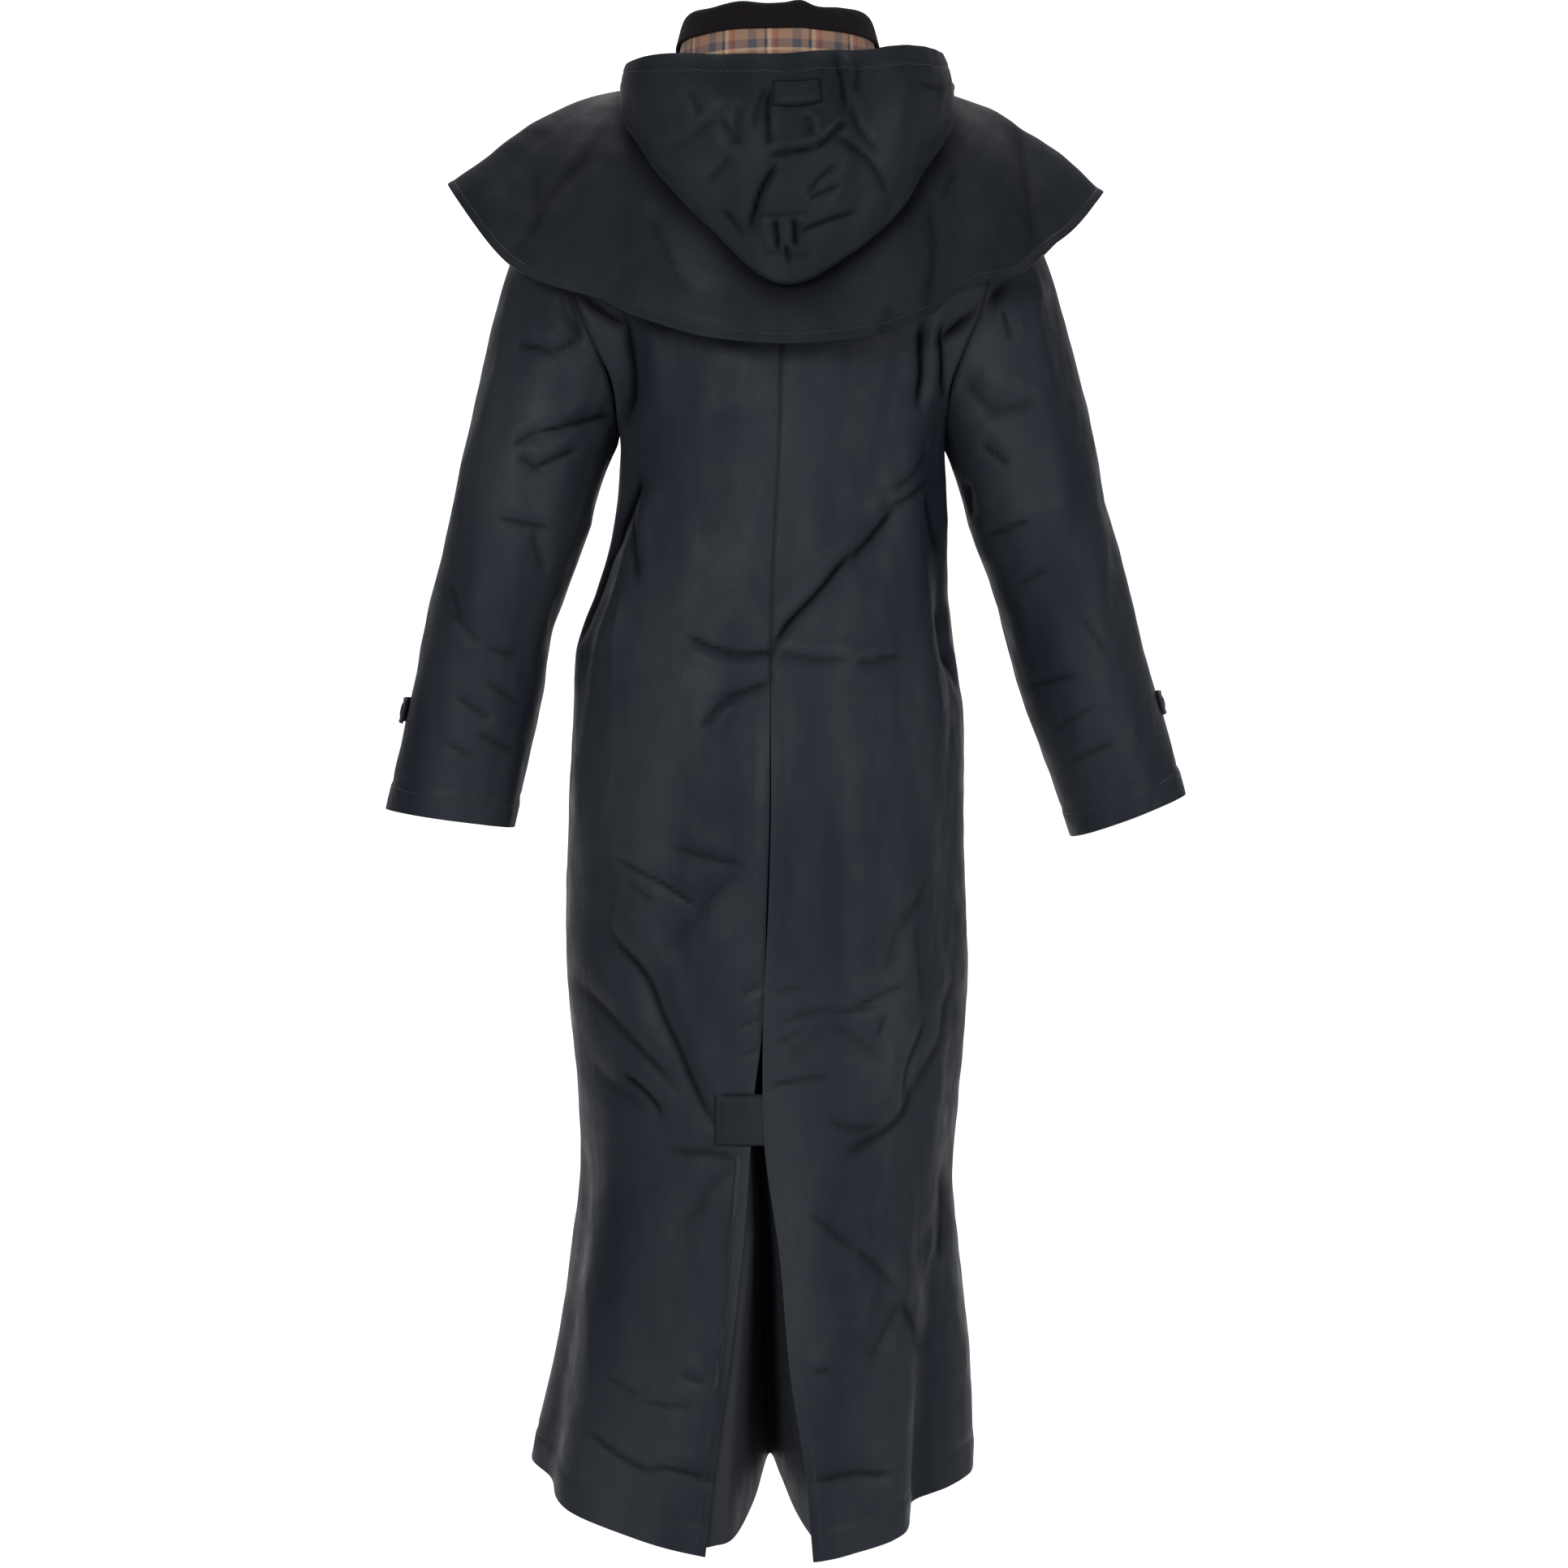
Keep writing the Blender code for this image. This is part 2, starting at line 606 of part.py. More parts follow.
def build_front(name, side):
    """One front as a cloth wall."""
    grid = front_panel(side)
    skirt_rows = len(SKIRT_STEPS)
    normals = grid_normals(grid, -1.0 if side > 0 else 1.0)
    normals[:skirt_rows, -1, 1] = 0.0
    shoulder = np.flatnonzero(FRONT_REACH[0] >= SHOULDER_START) + grid.shape[1] - FRONT_REACH.shape[1]
    normals[-1, shoulder, 1] = 0.0
    way = 360.0 - 180.0 * YOKE_STEPS[:, 0]
    normals[skirt_rows:, -1] = armhole_way(way, side, normals[skirt_rows:, -1], grid[skirt_rows:, -1, 2])
    normals = unit(normals)
    if side < 0:
        proud = np.zeros(grid.shape[1])
        proud[:LAP_COLUMNS] = LAP_STEP
        proud[LAP_COLUMNS] = LAP_STEP * LAP_FADE
        grid = grid + normals * proud[None, :, None]
    wall(name, pull_back(grid), normals, CLOTH, "navy")
    return grid, normals


def arm_line(rows, side, height):
    """Point on the middle line of a sleeve."""
    across = smooth(rows, "height", "across", height) * side
    return points(across, smooth(rows, "height", "forward", height), height)


def sleeve_ring(rows, side, way, height):
    """Oval ring of the lower sleeve, square to the arm's line."""
    middle = arm_line(rows, side, height)
    line = unit(arm_line(rows, side, height - ARM_STEP) - arm_line(rows, side, height + ARM_STEP))
    inward = unit(points(line[..., 2] * side, 0.0 * height, -line[..., 0] * side))
    back = unit(np.cross(inward, line)) * side
    angle = np.radians(way)
    half_width = smooth(rows, "height", "half_width", height)[..., None]
    half_depth = smooth(rows, "height", "half_depth", height)[..., None]
    tilted = ease(height, CUFF_TILT_START, CUFF_TILT_FULL)[..., None]
    tilt = CUFF_TILT[side] * tilted * np.cos(angle)[..., None]
    ring = inward * half_width * np.cos(angle)[..., None] + back * half_depth * np.sin(angle)[..., None]
    return middle + ring + line * tilt, line


SLEEVE_TOP = -0.400
SLEEVE_HEAD_PULL = 0.24
SLEEVE_HEAD_OUT = {-1: 0.54, 1: 0.44}
SLEEVE_HEAD_LEAN = 0.22
SLEEVE_COLUMNS = 18
SLEEVE_HEAD_ROWS = 6
SLEEVE_TUBE_ROWS = 10
SLEEVE_WAYS = np.linspace(0.0, 360.0, SLEEVE_COLUMNS + 1)[None, :-1]


def sleeve_grid(rows, side, ways):
    """Grid of a sleeve from the armhole to the cuff, closed round the arm."""
    upper = np.linspace(0.0, 1.0, SLEEVE_HEAD_ROWS + 1)[:-1, None]
    ring, line = sleeve_ring(rows, side, ways, np.full(ways.shape, SLEEVE_TOP))
    start = armhole(ways, side)
    drop = np.linalg.norm(ring - start, axis=-1, keepdims=True) * SLEEVE_HEAD_PULL
    outward = SLEEVE_HEAD_OUT[side] - SLEEVE_HEAD_LEAN * np.cos(np.radians(ways))[..., None]
    leave = unit(line + points(side, 0.0, 0.0) * outward)
    head = curve(start, start + leave * drop, ring - line * drop, ring, upper + 0.0 * ways)
    lower = np.linspace(SLEEVE_TOP, rows["height"][0], SLEEVE_TUBE_ROWS)[:, None] + 0.0 * ways
    tube, line = sleeve_ring(rows, side, ways + 0.0 * lower, lower)
    return np.concatenate([head, tube])


def build_sleeve(name, rows, side):
    """One sleeve as a cloth tube."""
    grid = sleeve_grid(rows, side, SLEEVE_WAYS)
    normals = grid_normals(grid, -side, closed=True)
    normals[0] = armhole_way(SLEEVE_WAYS[0], side, normals[0], grid[0, :, 2])
    wall(name, pull_back(grid, columns=False), normals, CLOTH, "navy", closed=True)
    return grid, normals


def cape_point(turn, fall):
    """Point of the cape: fall runs from the neck seam to the lower edge."""
    start = neck(turn, CAPE_NECK_OUT, CAPE_NECK_UP)
    hem = points(smooth(CAPE_HEM, "turn", "across", turn), smooth(CAPE_HEM, "turn", "depth", turn),
                 smooth(CAPE_HEM, "turn", "height", turn))
    out = hem - start
    out[..., 2] = 0.0
    lift = unit(out) + np.array([0.0, 0.0, 1.0])
    fall = np.asarray(fall)[..., None]
    lift_here = CAPE_LIFT_NECK + (CAPE_LIFT_HEM - CAPE_LIFT_NECK) * fall
    swell = 4.0 * fall * (1.0 - fall) * lift_here
    return start + (hem - start) * fall + unit(lift) * swell


def cape_normals(turn, fall):
    """Outward directions of the cape's surface."""
    around = cape_point(turn + PROBE_TURN, fall) - cape_point(turn - PROBE_TURN, fall)
    along = cape_point(turn, fall + PROBE_FALL) - cape_point(turn, fall - PROBE_FALL)
    return unit(np.cross(along, around))


def turns(ends):
    """Turns of the columns of a piece caught in the neck seam."""
    count = int(round(2.0 * ends / NECK_STEP_DEG)) + 1
    return np.linspace(-ends, ends, count)[None, :]


def build_cape():
    """The shoulder cape as a cloth wall."""
    fall = np.linspace(0.0, 1.0, CAPE_ROWS)[:, None]
    turn = turns(CAPE_ENDS_DEG) + 0.0 * fall
    fall = fall + 0.0 * turn
    normals = cape_normals(turn, fall)
    normals[0] = unit(normals[0] + np.array([0.0, 0.0, 1.0]))
    wall("cape", cape_point(turn, fall), normals, CLOTH, "navy")


def hood_grid(turn, far_rows, near_rows):
    """Grid of the hood's outer side: down the cape from the neck seam, round the fold, up to the rim."""
    bottom = smooth(HOOD, "turn", "bottom", turn)
    rim = points(smooth(HOOD, "turn", "rim_across", turn), smooth(HOOD, "turn", "rim_depth", turn),
                 smooth(HOOD, "turn", "rim_height", turn))
    rise = np.linspace(1.0, HOOD_STAND_FOOT, HOOD_STAND_ROWS)[:, None]
    stand = neck(turn + 0.0 * rise, HOOD_STAND_OUT - HOOD_NECK_LEAN * rise ** 2, HOOD_NECK_RISE * rise)
    fall = HOOD_FALL_START + np.linspace(0.0, 1.0, far_rows)[:, None] * (bottom - HOOD_FALL_START)
    spread = turn + 0.0 * fall
    far = cape_point(spread, fall) + cape_normals(spread, fall) * HOOD_CLEAR
    foot = far[-1]
    foot_out = cape_normals(turn, bottom)[0]
    down = unit(far[-1] - far[-2])
    size = HOOD_FOLD * ease(bottom, 0.0, HOOD_FOLD_FULL_AT).reshape(-1, 1)
    size = np.maximum(size, HOOD_FOLD_LEAST)
    fold = [foot + down * size * math.sin(bend) + foot_out * size * (1.0 - math.cos(bend))
            for bend in HOOD_FOLD_BENDS]
    start = fold[-1]
    out = rim[0] - neck(turn)[0]
    out[:, 2] = 0.0
    swell = smooth(HOOD, "turn", "swell", turn).reshape(-1, 1)
    pull = (start + rim[0]) / 2.0 + unit(out) * swell * 2.0
    part = np.linspace(0.0, 1.0, near_rows + 1)[1:, None, None]
    near = (1 - part) ** 2 * start + 2 * part * (1 - part) * pull + part ** 2 * rim[0]
    return np.concatenate([stand, far, np.stack(fold), near])


def build_hood():
    """The hood as a pouch wall, with its lining and its adjuster strap."""
    turn = turns(HOOD_ENDS_DEG)
    grid = hood_grid(turn, HOOD_FAR_ROWS, HOOD_NEAR_ROWS)
    normals = grid_normals(grid, 1.0)
    wall("hood", grid, normals, CLOTH, "navy")
    lining_rows = HOOD_STAND_ROWS + HOOD_FAR_ROWS - LINING_SHORT_ROWS
    inner = grid[:lining_rows] - normals[:lining_rows] * (CLOTH + LINING_CLEAR)
    inside = slice(LINING_SHORT_ROWS, -LINING_SHORT_ROWS)
    wall("hood_lining", inner[:, inside], normals[:lining_rows, inside], LINING_CLOTH, "check")
    strap_turn = np.linspace(*HOOD_STRAP_TURNS)[None, :]
    strap_grid = hood_grid(strap_turn, HOOD_FAR_ROWS, HOOD_STRAP_NEAR_ROWS)
    strap_normals = grid_normals(strap_grid, 1.0)
    rows = HOOD_STRAP_ROWS
    lifted = strap_grid + strap_normals * (STRAP_CLOTH + STRAP_LIFT)
    wall("hood_strap", lifted[rows], strap_normals[rows], STRAP_CLOTH, "navy")


def build_collar():
    """The collar: a stand that turns over into a leaf."""
    turn = turns(COLLAR_ENDS_DEG)[:, ::2]
    out = COLLAR["out"][:, None]
    up = COLLAR["up"][:, None]
    grid = neck(turn + 0.0 * out, 0.0, 0.0)
    way = unit(points(np.sin(np.radians(turn)), -np.cos(np.radians(turn)), 0.0 * turn))
    grid = grid + way * out[..., None]
    grid[..., 2] += up
    wall("collar", grid, grid_normals(grid, -1.0), COLLAR_CLOTH, "collar_navy")


def build_gusset():
    """The pleated wedge inside the vent, its edges under both back panels."""
    part = np.linspace(0.0, 1.0, GUSSET_COLUMNS)[None, :]
    depth_share = smooth(PLEAT_SHAPE, "part", "share", part)
    hem = GUSSET_HEM + GUSSET_HEM_LIFT * depth_share
    step = np.linspace(0.0, 1.0, GUSSET_ROWS)[:, None]
    height = hem + (GUSSET_TOP - hem) * step
    left = vent_edge(-1, height) - GUSSET_UNDER
    right = vent_edge(1, height) + GUSSET_UNDER
    across = left + (right - left) * part
    lap = vent_lap(across, height) * ease(part, GUSSET_LAP_START, GUSSET_LAP_FULL)
    face = body_ring(turn_at(across, height), height, lap - CLOTH - GUSSET_CLEAR)
    face[..., 1] += smooth(PLEAT, "height", "depth", height) * depth_share
    wall("vent_gusset", face, grid_normals(face, 1.0), GUSSET_CLOTH, "navy")


def build_tab():
    """The square tab across the vent, sewn to the left panel and slipped under the right one."""
    across = np.linspace(*TAB_ACROSS)[None, :]
    height = np.linspace(*TAB_HEIGHTS)[:, None] + 0.0 * across
    across = across + 0.0 * height
    face = body_ring(turn_at(across, height), height, TAB_LIFT + TAB_CLOTH)
    wall("vent_tab", face, grid_normals(face, 1.0), TAB_CLOTH, "navy")


def build_cuff_strap(name, rows, side):
    """Strap round the front of a cuff; its loop stands out at the outer edge of the sleeve."""
    ways = np.linspace(*CUFF_STRAP_WAYS)[None, :]
    height = np.linspace(*CUFF_STRAP_HEIGHTS)[:, None] + 0.0 * ways
    ways = ways + 0.0 * height
    ring, line = sleeve_ring(rows, side, ways, height)
    normals = grid_normals(ring, side)
    loop = CUFF_LOOP_STAND * np.exp(-((ways - CUFF_LOOP_WAY) / CUFF_LOOP_SPREAD) ** 2)
    stand_out = STRAP_LIFT + STRAP_CLOTH + loop
    face = ring + normals * stand_out[..., None]
    wall(name, face, normals, STRAP_CLOTH, "navy")


def build_studs(grid, normals):
    """Press studs down the lapped edge of the left front."""
    for number, height in enumerate(STUDS, start=1):
        turn = np.array([STUD_ACROSS_DEG])
        seat = body_ring(turn, np.array([height]))[0] if height < ARMPIT_HEIGHT else None
        if seat is None:
            reach = np.array([(180.0 - STUD_ACROSS_DEG) / 90.0])
            seat = upper_body(1, False, reach, np.array([TOP_STUD_RISE]))[0]
        nearest = np.argmin(np.linalg.norm(grid[:, STUD_COLUMN] - seat, axis=-1))
        way = normals[nearest, STUD_COLUMN]
        bpy.ops.mesh.primitive_cylinder_add(vertices=STUD_SIDES, radius=STUD_RADIUS, depth=STUD_HEIGHT)
        stud = bpy.context.object
        stud.name = "front_stud_%d" % number
        stud.data.name = stud.name
        middle = Vector(seat + way * (LAP_STEP + STUD_LIFT + STUD_HEIGHT / 2.0))
        turned = Vector(way).to_track_quat("Z", "Y").to_matrix().to_4x4()
        stud.data.transform(turned)
        stud.data.transform(turned.Translation(middle))
        stud.location = (0.0, 0.0, 0.0)
        stud.data.materials.append(material("stud_metal"))
        bevel = stud.modifiers.new("soft_edge", "BEVEL")
        bevel.width = STUD_EDGE
        bevel.segments = 1


def build():
    """The whole coat."""
    for old in list(bpy.data.objects):
        bpy.data.objects.remove(old, do_unlink=True)
    build_back("back_left", -1)
    build_back("back_right", 1)
    build_front("front_right", 1)
    lap_grid, lap_normals = build_front("front_left", -1)
    build_sleeve("sleeve_left", SLEEVE_LEFT, -1)
    build_sleeve("sleeve_right", SLEEVE_RIGHT, 1)
    build_cape()
    build_collar()
    build_hood()
    build_gusset()
    build_tab()
    build_cuff_strap("cuff_strap_left", SLEEVE_LEFT, -1)
    build_cuff_strap("cuff_strap_right", SLEEVE_RIGHT, 1)
    build_studs(lap_grid, lap_normals)


build()
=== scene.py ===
# %% [markdown]
# # A long riding coat in waxed cloth
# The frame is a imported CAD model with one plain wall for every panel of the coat. This lesson lays
# a finer, creased shell of cloth over each wall, gives it a material, and sets up a plain studio
# picture of the coat's back.

# %% Load the frame
import math

import bpy
import numpy as np
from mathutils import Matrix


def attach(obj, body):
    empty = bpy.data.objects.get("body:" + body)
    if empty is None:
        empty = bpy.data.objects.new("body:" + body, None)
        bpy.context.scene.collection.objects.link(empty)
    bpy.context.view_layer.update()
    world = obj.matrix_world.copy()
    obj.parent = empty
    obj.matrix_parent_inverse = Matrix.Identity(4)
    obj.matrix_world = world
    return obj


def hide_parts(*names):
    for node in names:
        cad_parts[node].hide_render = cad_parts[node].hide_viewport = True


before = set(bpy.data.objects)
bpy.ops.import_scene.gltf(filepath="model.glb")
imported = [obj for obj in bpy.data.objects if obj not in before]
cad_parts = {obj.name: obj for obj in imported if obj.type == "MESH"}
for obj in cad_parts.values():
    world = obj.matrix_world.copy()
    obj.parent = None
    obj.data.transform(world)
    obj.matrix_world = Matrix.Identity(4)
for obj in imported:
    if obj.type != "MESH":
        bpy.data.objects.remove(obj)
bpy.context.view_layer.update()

# %% [markdown]
# ## Tools for curves and grids
# Every piece of cloth here is a grid of points worked out from a few measures. A measure that
# changes along the coat sits in a table, and a smooth curve through its rows gives every value
# between them. Metres are used all through: +X is the wearer's right, +Y the front, +Z up, and the
# origin lies in the neck opening.

# %% Tools for curves and grids
def table(names, text):
    """Rows of numbers, parted by semicolons, whose columns carry names."""
    rows = [tuple(float(number) for number in row.split()) for row in text.split(";")]
    return np.array(rows, dtype=[(name, float) for name in names.split()])


def smooth(rows, name, place):
    """Value of a named column at places along the first one: a cubic through the rows with their slopes."""
    keys = rows[rows.dtype.names[0]]
    values = rows[name]
    slopes = np.gradient(values, keys)
    place = np.clip(place, keys[0], keys[-1])
    low = np.clip(np.searchsorted(keys, place, side="right") - 1, 0, len(keys) - 2)
    step = keys[low + 1] - keys[low]
    part = (place - keys[low]) / step
    rise = ease(part, 0.0, 1.0)
    bend = part * (1.0 - part) * step
    return (values[low] * (1.0 - rise) + values[low + 1] * rise
            + bend * (1.0 - part) * slopes[low] - bend * part * slopes[low + 1])


def ease(value, start, end):
    """Soft step from 0 at start to 1 at end: three times the square less twice the cube."""
    part = np.clip((value - start) / (end - start), 0.0, 1.0)
    return part * part * (3.0 - 2.0 * part)


def bell(value, width):
    """Bell curve of height 1: e to the power of minus the square of value over width."""
    return np.exp(-(value / width) ** 2)


def points(x, y, z):
    """One array of points from three arrays of coordinates."""
    return np.stack(np.broadcast_arrays(x, y, z), axis=-1).astype(float)


def table_points(rows, place):
    """Points whose coordinates are the smooth columns across, depth and height of a table."""
    return points(*(smooth(rows, name, place) for name in ("across", "depth", "height")))


def unit(vectors):
    """Vectors brought to length one."""
    return vectors / np.maximum(np.linalg.norm(vectors, axis=-1, keepdims=True), 1e-12)


def grid_normals(grid, side, closed=False):
    """Surface directions of a grid: the cross product of its steps along the columns and down the rows."""
    around = np.roll(grid, -1, axis=1) - np.roll(grid, 1, axis=1) if closed else np.gradient(grid, axis=1)
    return unit(np.cross(around, np.gradient(grid, axis=0))) * side


def lengths(grid, axis):
    """Distance walked along the grid's points, added up from the first one."""
    steps = np.linalg.norm(np.diff(grid, axis=axis), axis=-1)
    start = np.zeros_like(np.take(steps, [0], axis=axis))
    return np.concatenate([start, np.cumsum(steps, axis=axis)], axis=axis)


def curve(start, first, second, end, part):
    """Cubic curve with two pulling points, each weighted by its power of part and of the rest."""
    part = np.asarray(part)[..., None]
    rest = 1.0 - part
    return rest ** 3 * start + 3 * rest ** 2 * part * first + 3 * rest * part ** 2 * second + part ** 3 * end


# %% [markdown]
# ## Tools that make a cloth wall
# Cloth has two sides, so each shell is a closed wall: the outer grid, the same grid moved in along
# its normals, and a narrow rim that joins them. The faces are built as whole arrays of corner
# numbers. The UV map holds metres along the cloth, counted from the middle of each row, which lets
# a weave keep one size on every piece, and an attribute called fold carries painted shade: how
# dark the material paints each point, in deep creases, along seams, under the hood's edge and
# round the small patches.

# %% Tools that make a cloth wall
CLOTH = 0.0016
SHARP_DEG = 55.0
surfaces = {}


def quads(*corners):
    """Faces as rows of four corner numbers, from four arrays of them."""
    return np.stack(corners, axis=-1).reshape(-1, 4)


def grid_faces(number):
    """Faces between the neighbours in a grid of corner numbers."""
    return quads(number[:-1, :-1], number[:-1, 1:], number[1:, 1:], number[1:, :-1])


def wall_faces(over, under, closed):
    """Faces of a wall: the outer grid, the inner grid turned round, and the rims between them."""
    parts = [grid_faces(over), grid_faces(under)[:, ::-1],
             quads(over[0, 1:], over[0, :-1], under[0, :-1], under[0, 1:]),
             quads(over[-1, :-1], over[-1, 1:], under[-1, 1:], under[-1, :-1])]
    if not closed:
        parts.append(quads(over[:-1, 0], over[1:, 0], under[1:, 0], under[:-1, 0]))
        parts.append(quads(over[1:, -1], over[:-1, -1], under[:-1, -1], under[1:, -1]))
    return np.concatenate(parts)


def add_mesh(name, corners, faces, material):
    """Put a smooth-shaded mesh in the scene."""
    mesh = bpy.data.meshes.new(name)
    mesh.from_pydata(corners.tolist(), [], faces.tolist())
    mesh.polygons.foreach_set("use_smooth", np.ones(len(faces), dtype=bool))
    mesh.set_sharp_from_angle(angle=math.radians(SHARP_DEG))
    mesh.materials.append(material)
    made = bpy.data.objects.new(name, mesh)
    bpy.context.scene.collection.objects.link(made)
    return made


def cloth_wall(name, surface, material, thickness=CLOTH, closed=False):
    """Closed wall in place of a CAD node; its inner side lies one thickness in along the normals."""
    outer, normals, dark = surface
    rows, columns = outer.shape[:2]
    count = rows * columns
    corners = np.concatenate([outer.reshape(-1, 3), (outer - normals * thickness).reshape(-1, 3)])
    number = np.arange(count).reshape(rows, columns)
    mapped = outer
    if closed:
        number = np.concatenate([number, number[:, :1]], axis=1)
        mapped = np.concatenate([outer, outer[:, :1]], axis=1)
    faces = wall_faces(number, number + count, closed)
    around = lengths(mapped, 1)
    place = np.stack([around - around[:, [columns // 2]], lengths(mapped, 0)], axis=-1).reshape(-1, 2)
    spot = np.arange(len(place)).reshape(mapped.shape[:2])
    spots = wall_faces(spot, spot, closed)
    first = corners[faces[0]]
    if np.cross(first[1] - first[0], first[2] - first[0]) @ normals[0, 0] < 0.0:
        faces = faces[:, ::-1]
        spots = spots[:, ::-1]
    made = add_mesh(name + "_cloth", corners, faces, material)
    made.data.uv_layers.new(name="cloth").data.foreach_set("uv", place[spots].ravel())
    # The fold attribute is painted shade on the outer side; the inner side gets none.
    fold = np.zeros((2, rows, columns))
    fold[0] = dark
    made.data.attributes.new("fold", "FLOAT", "POINT").data.foreach_set("value", fold.ravel())
    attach(made, "root")
    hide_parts(name)
    surfaces[name] = surface
    steps = np.cross(mapped[1:, :-1] - mapped[:-1, :-1], mapped[:-1, 1:] - mapped[:-1, :-1])
    area = np.linalg.norm(steps, axis=-1).sum()
    print("%-18s %7d faces, %.3f square metres" % (made.name, len(faces), area))


# %% [markdown]
# ## Creases placed one by one
# Main creases are easiest to place where they show, so each one is a line across the picture: from
# one place to another, counted in steps of a picture 1932 steps wide. Any point of the coat is
# carried into that picture through the camera, and its distance from the line gives a soft trough
# with a ridge beside it. A field of turned sine waves lets the lines wander and leaves the cloth
# between them slightly uneven.
# The deepest, narrowest troughs also get painted shade, a dark band that the cloth's material mixes in.

# %% Creases placed one by one
CAMERA = np.array([0.003, -3.0, -0.65])
PICTURE_HALF = 966.0
PICTURE_FOCUS = 4000.0
WANDER = 5.0
WANDER_SIZE = 130.0
RIDGE_SHARE = 0.50
# Painted shade in the creases: how deep and how narrow a trough must be to get full dark, and how wide the
# dark band is.
PAINTED_SHADE_DEPTH = 4.5
PAINTED_SHADE_SIZE = 10.0
PAINTED_SHADE_SHARE = 0.42
PAINTED_SHADE_LEAST = 3.6
FADE = (-0.10, 0.22)
RIDGE_BESIDE = 2.1
RIDGE_WIDTH = 1.5
FACING = (-0.05, 0.35)
WAVE_TURNS = np.arange(8) * 2.4
WAVE_PACES = 0.6 + np.arange(8) * 0.13
WAVE_START = 3.7
WANDER_SEED = 0.7
FOLD_POWER = 1.2
MM_PER_METRE = 1000.0
CREASE = "across0 down0 across1 down1 bow depth width ridge"


def picture_place(place, front=False):
    """Place of a point in the picture: focal length times distance off the axis over distance ahead."""
    turn = -1.0 if front else 1.0
    ahead = place[..., 1] * turn - CAMERA[1]
    across = PICTURE_HALF + PICTURE_FOCUS * (place[..., 0] - CAMERA[0]) * turn / ahead
    down = PICTURE_HALF - PICTURE_FOCUS * (place[..., 2] - CAMERA[2]) / ahead
    return across, down


def ripple(across, along, seed):
    """Uneven field between about -1 and 1: a quarter of the sum of eight sine waves in turned directions."""
    angle = seed + WAVE_TURNS
    phase = across[..., None] * np.cos(angle) * WAVE_PACES + along[..., None] * np.sin(angle) * WAVE_PACES
    return np.sin(2.0 * np.pi * phase + angle * WAVE_START).sum(axis=-1) / 4.0


def fold_line(value, width):
    """Sharper than a bell: e to the power of minus the distance over the width, raised a little."""
    return np.exp(-np.abs(value / width) ** FOLD_POWER)


def crease_move(place, rows, front=False):
    """Sum over the lines of a trough and a wider bell beside it, faded out at the ends.

    The second array is painted shade, dark along the deep, narrow troughs."""
    across, down = picture_place(place, front)
    wander = WANDER * ripple(across / WANDER_SIZE, down / WANDER_SIZE, WANDER_SEED)
    move = np.zeros(across.shape)
    dark = np.zeros(across.shape)
    for across0, down0, across1, down1, bow, depth, width, ridge in rows.tolist():
        line_across = across1 - across0
        line_down = down1 - down0
        length = math.hypot(line_across, line_down)
        part = ((across - across0) * line_across + (down - down0) * line_down) / length ** 2
        inside = np.clip(part, 0.0, 1.0)
        beside = ((across - across0) * line_down - (down - down0) * line_across) / length
        beside = beside + wander - bow * 4.0 * inside * (1.0 - inside)
        fade = ease(part, *FADE) * ease(1.0 - part, *FADE)
        hill = bell(beside - ridge * RIDGE_BESIDE * width, RIDGE_WIDTH * width) * RIDGE_SHARE * abs(ridge)
        move = move + depth / MM_PER_METRE * fade * (hill - fold_line(beside, width))
        # Painted shade: deep, narrow troughs get a dark band along their bottom.
        steep = min(PAINTED_SHADE_SIZE / width, 1.0) ** 2
        deep = np.clip(steep * depth / PAINTED_SHADE_DEPTH, 0.0, 1.0)
        dark = np.maximum(dark, deep * fade * bell(beside, max(PAINTED_SHADE_LEAST, PAINTED_SHADE_SHARE * width)))
    return move, dark


def creased(grid, normals, move, back_rows, front_rows, share=1.0):
    """Grid moved along its normals by a move and by the creases of the side it faces, and its painted shade.
    """
    back_move, back_dark = crease_move(grid, back_rows)
    front_move, front_dark = crease_move(grid, front_rows, front=True)
    back = share * ease(-normals[..., 1], *FACING)
    front = share * ease(normals[..., 1], *FACING)
    crease = back * back_move + front * front_move
    shaped = grid + normals * crease[..., None] + normals * move[..., None]
    return shaped, back * back_dark + front * front_dark
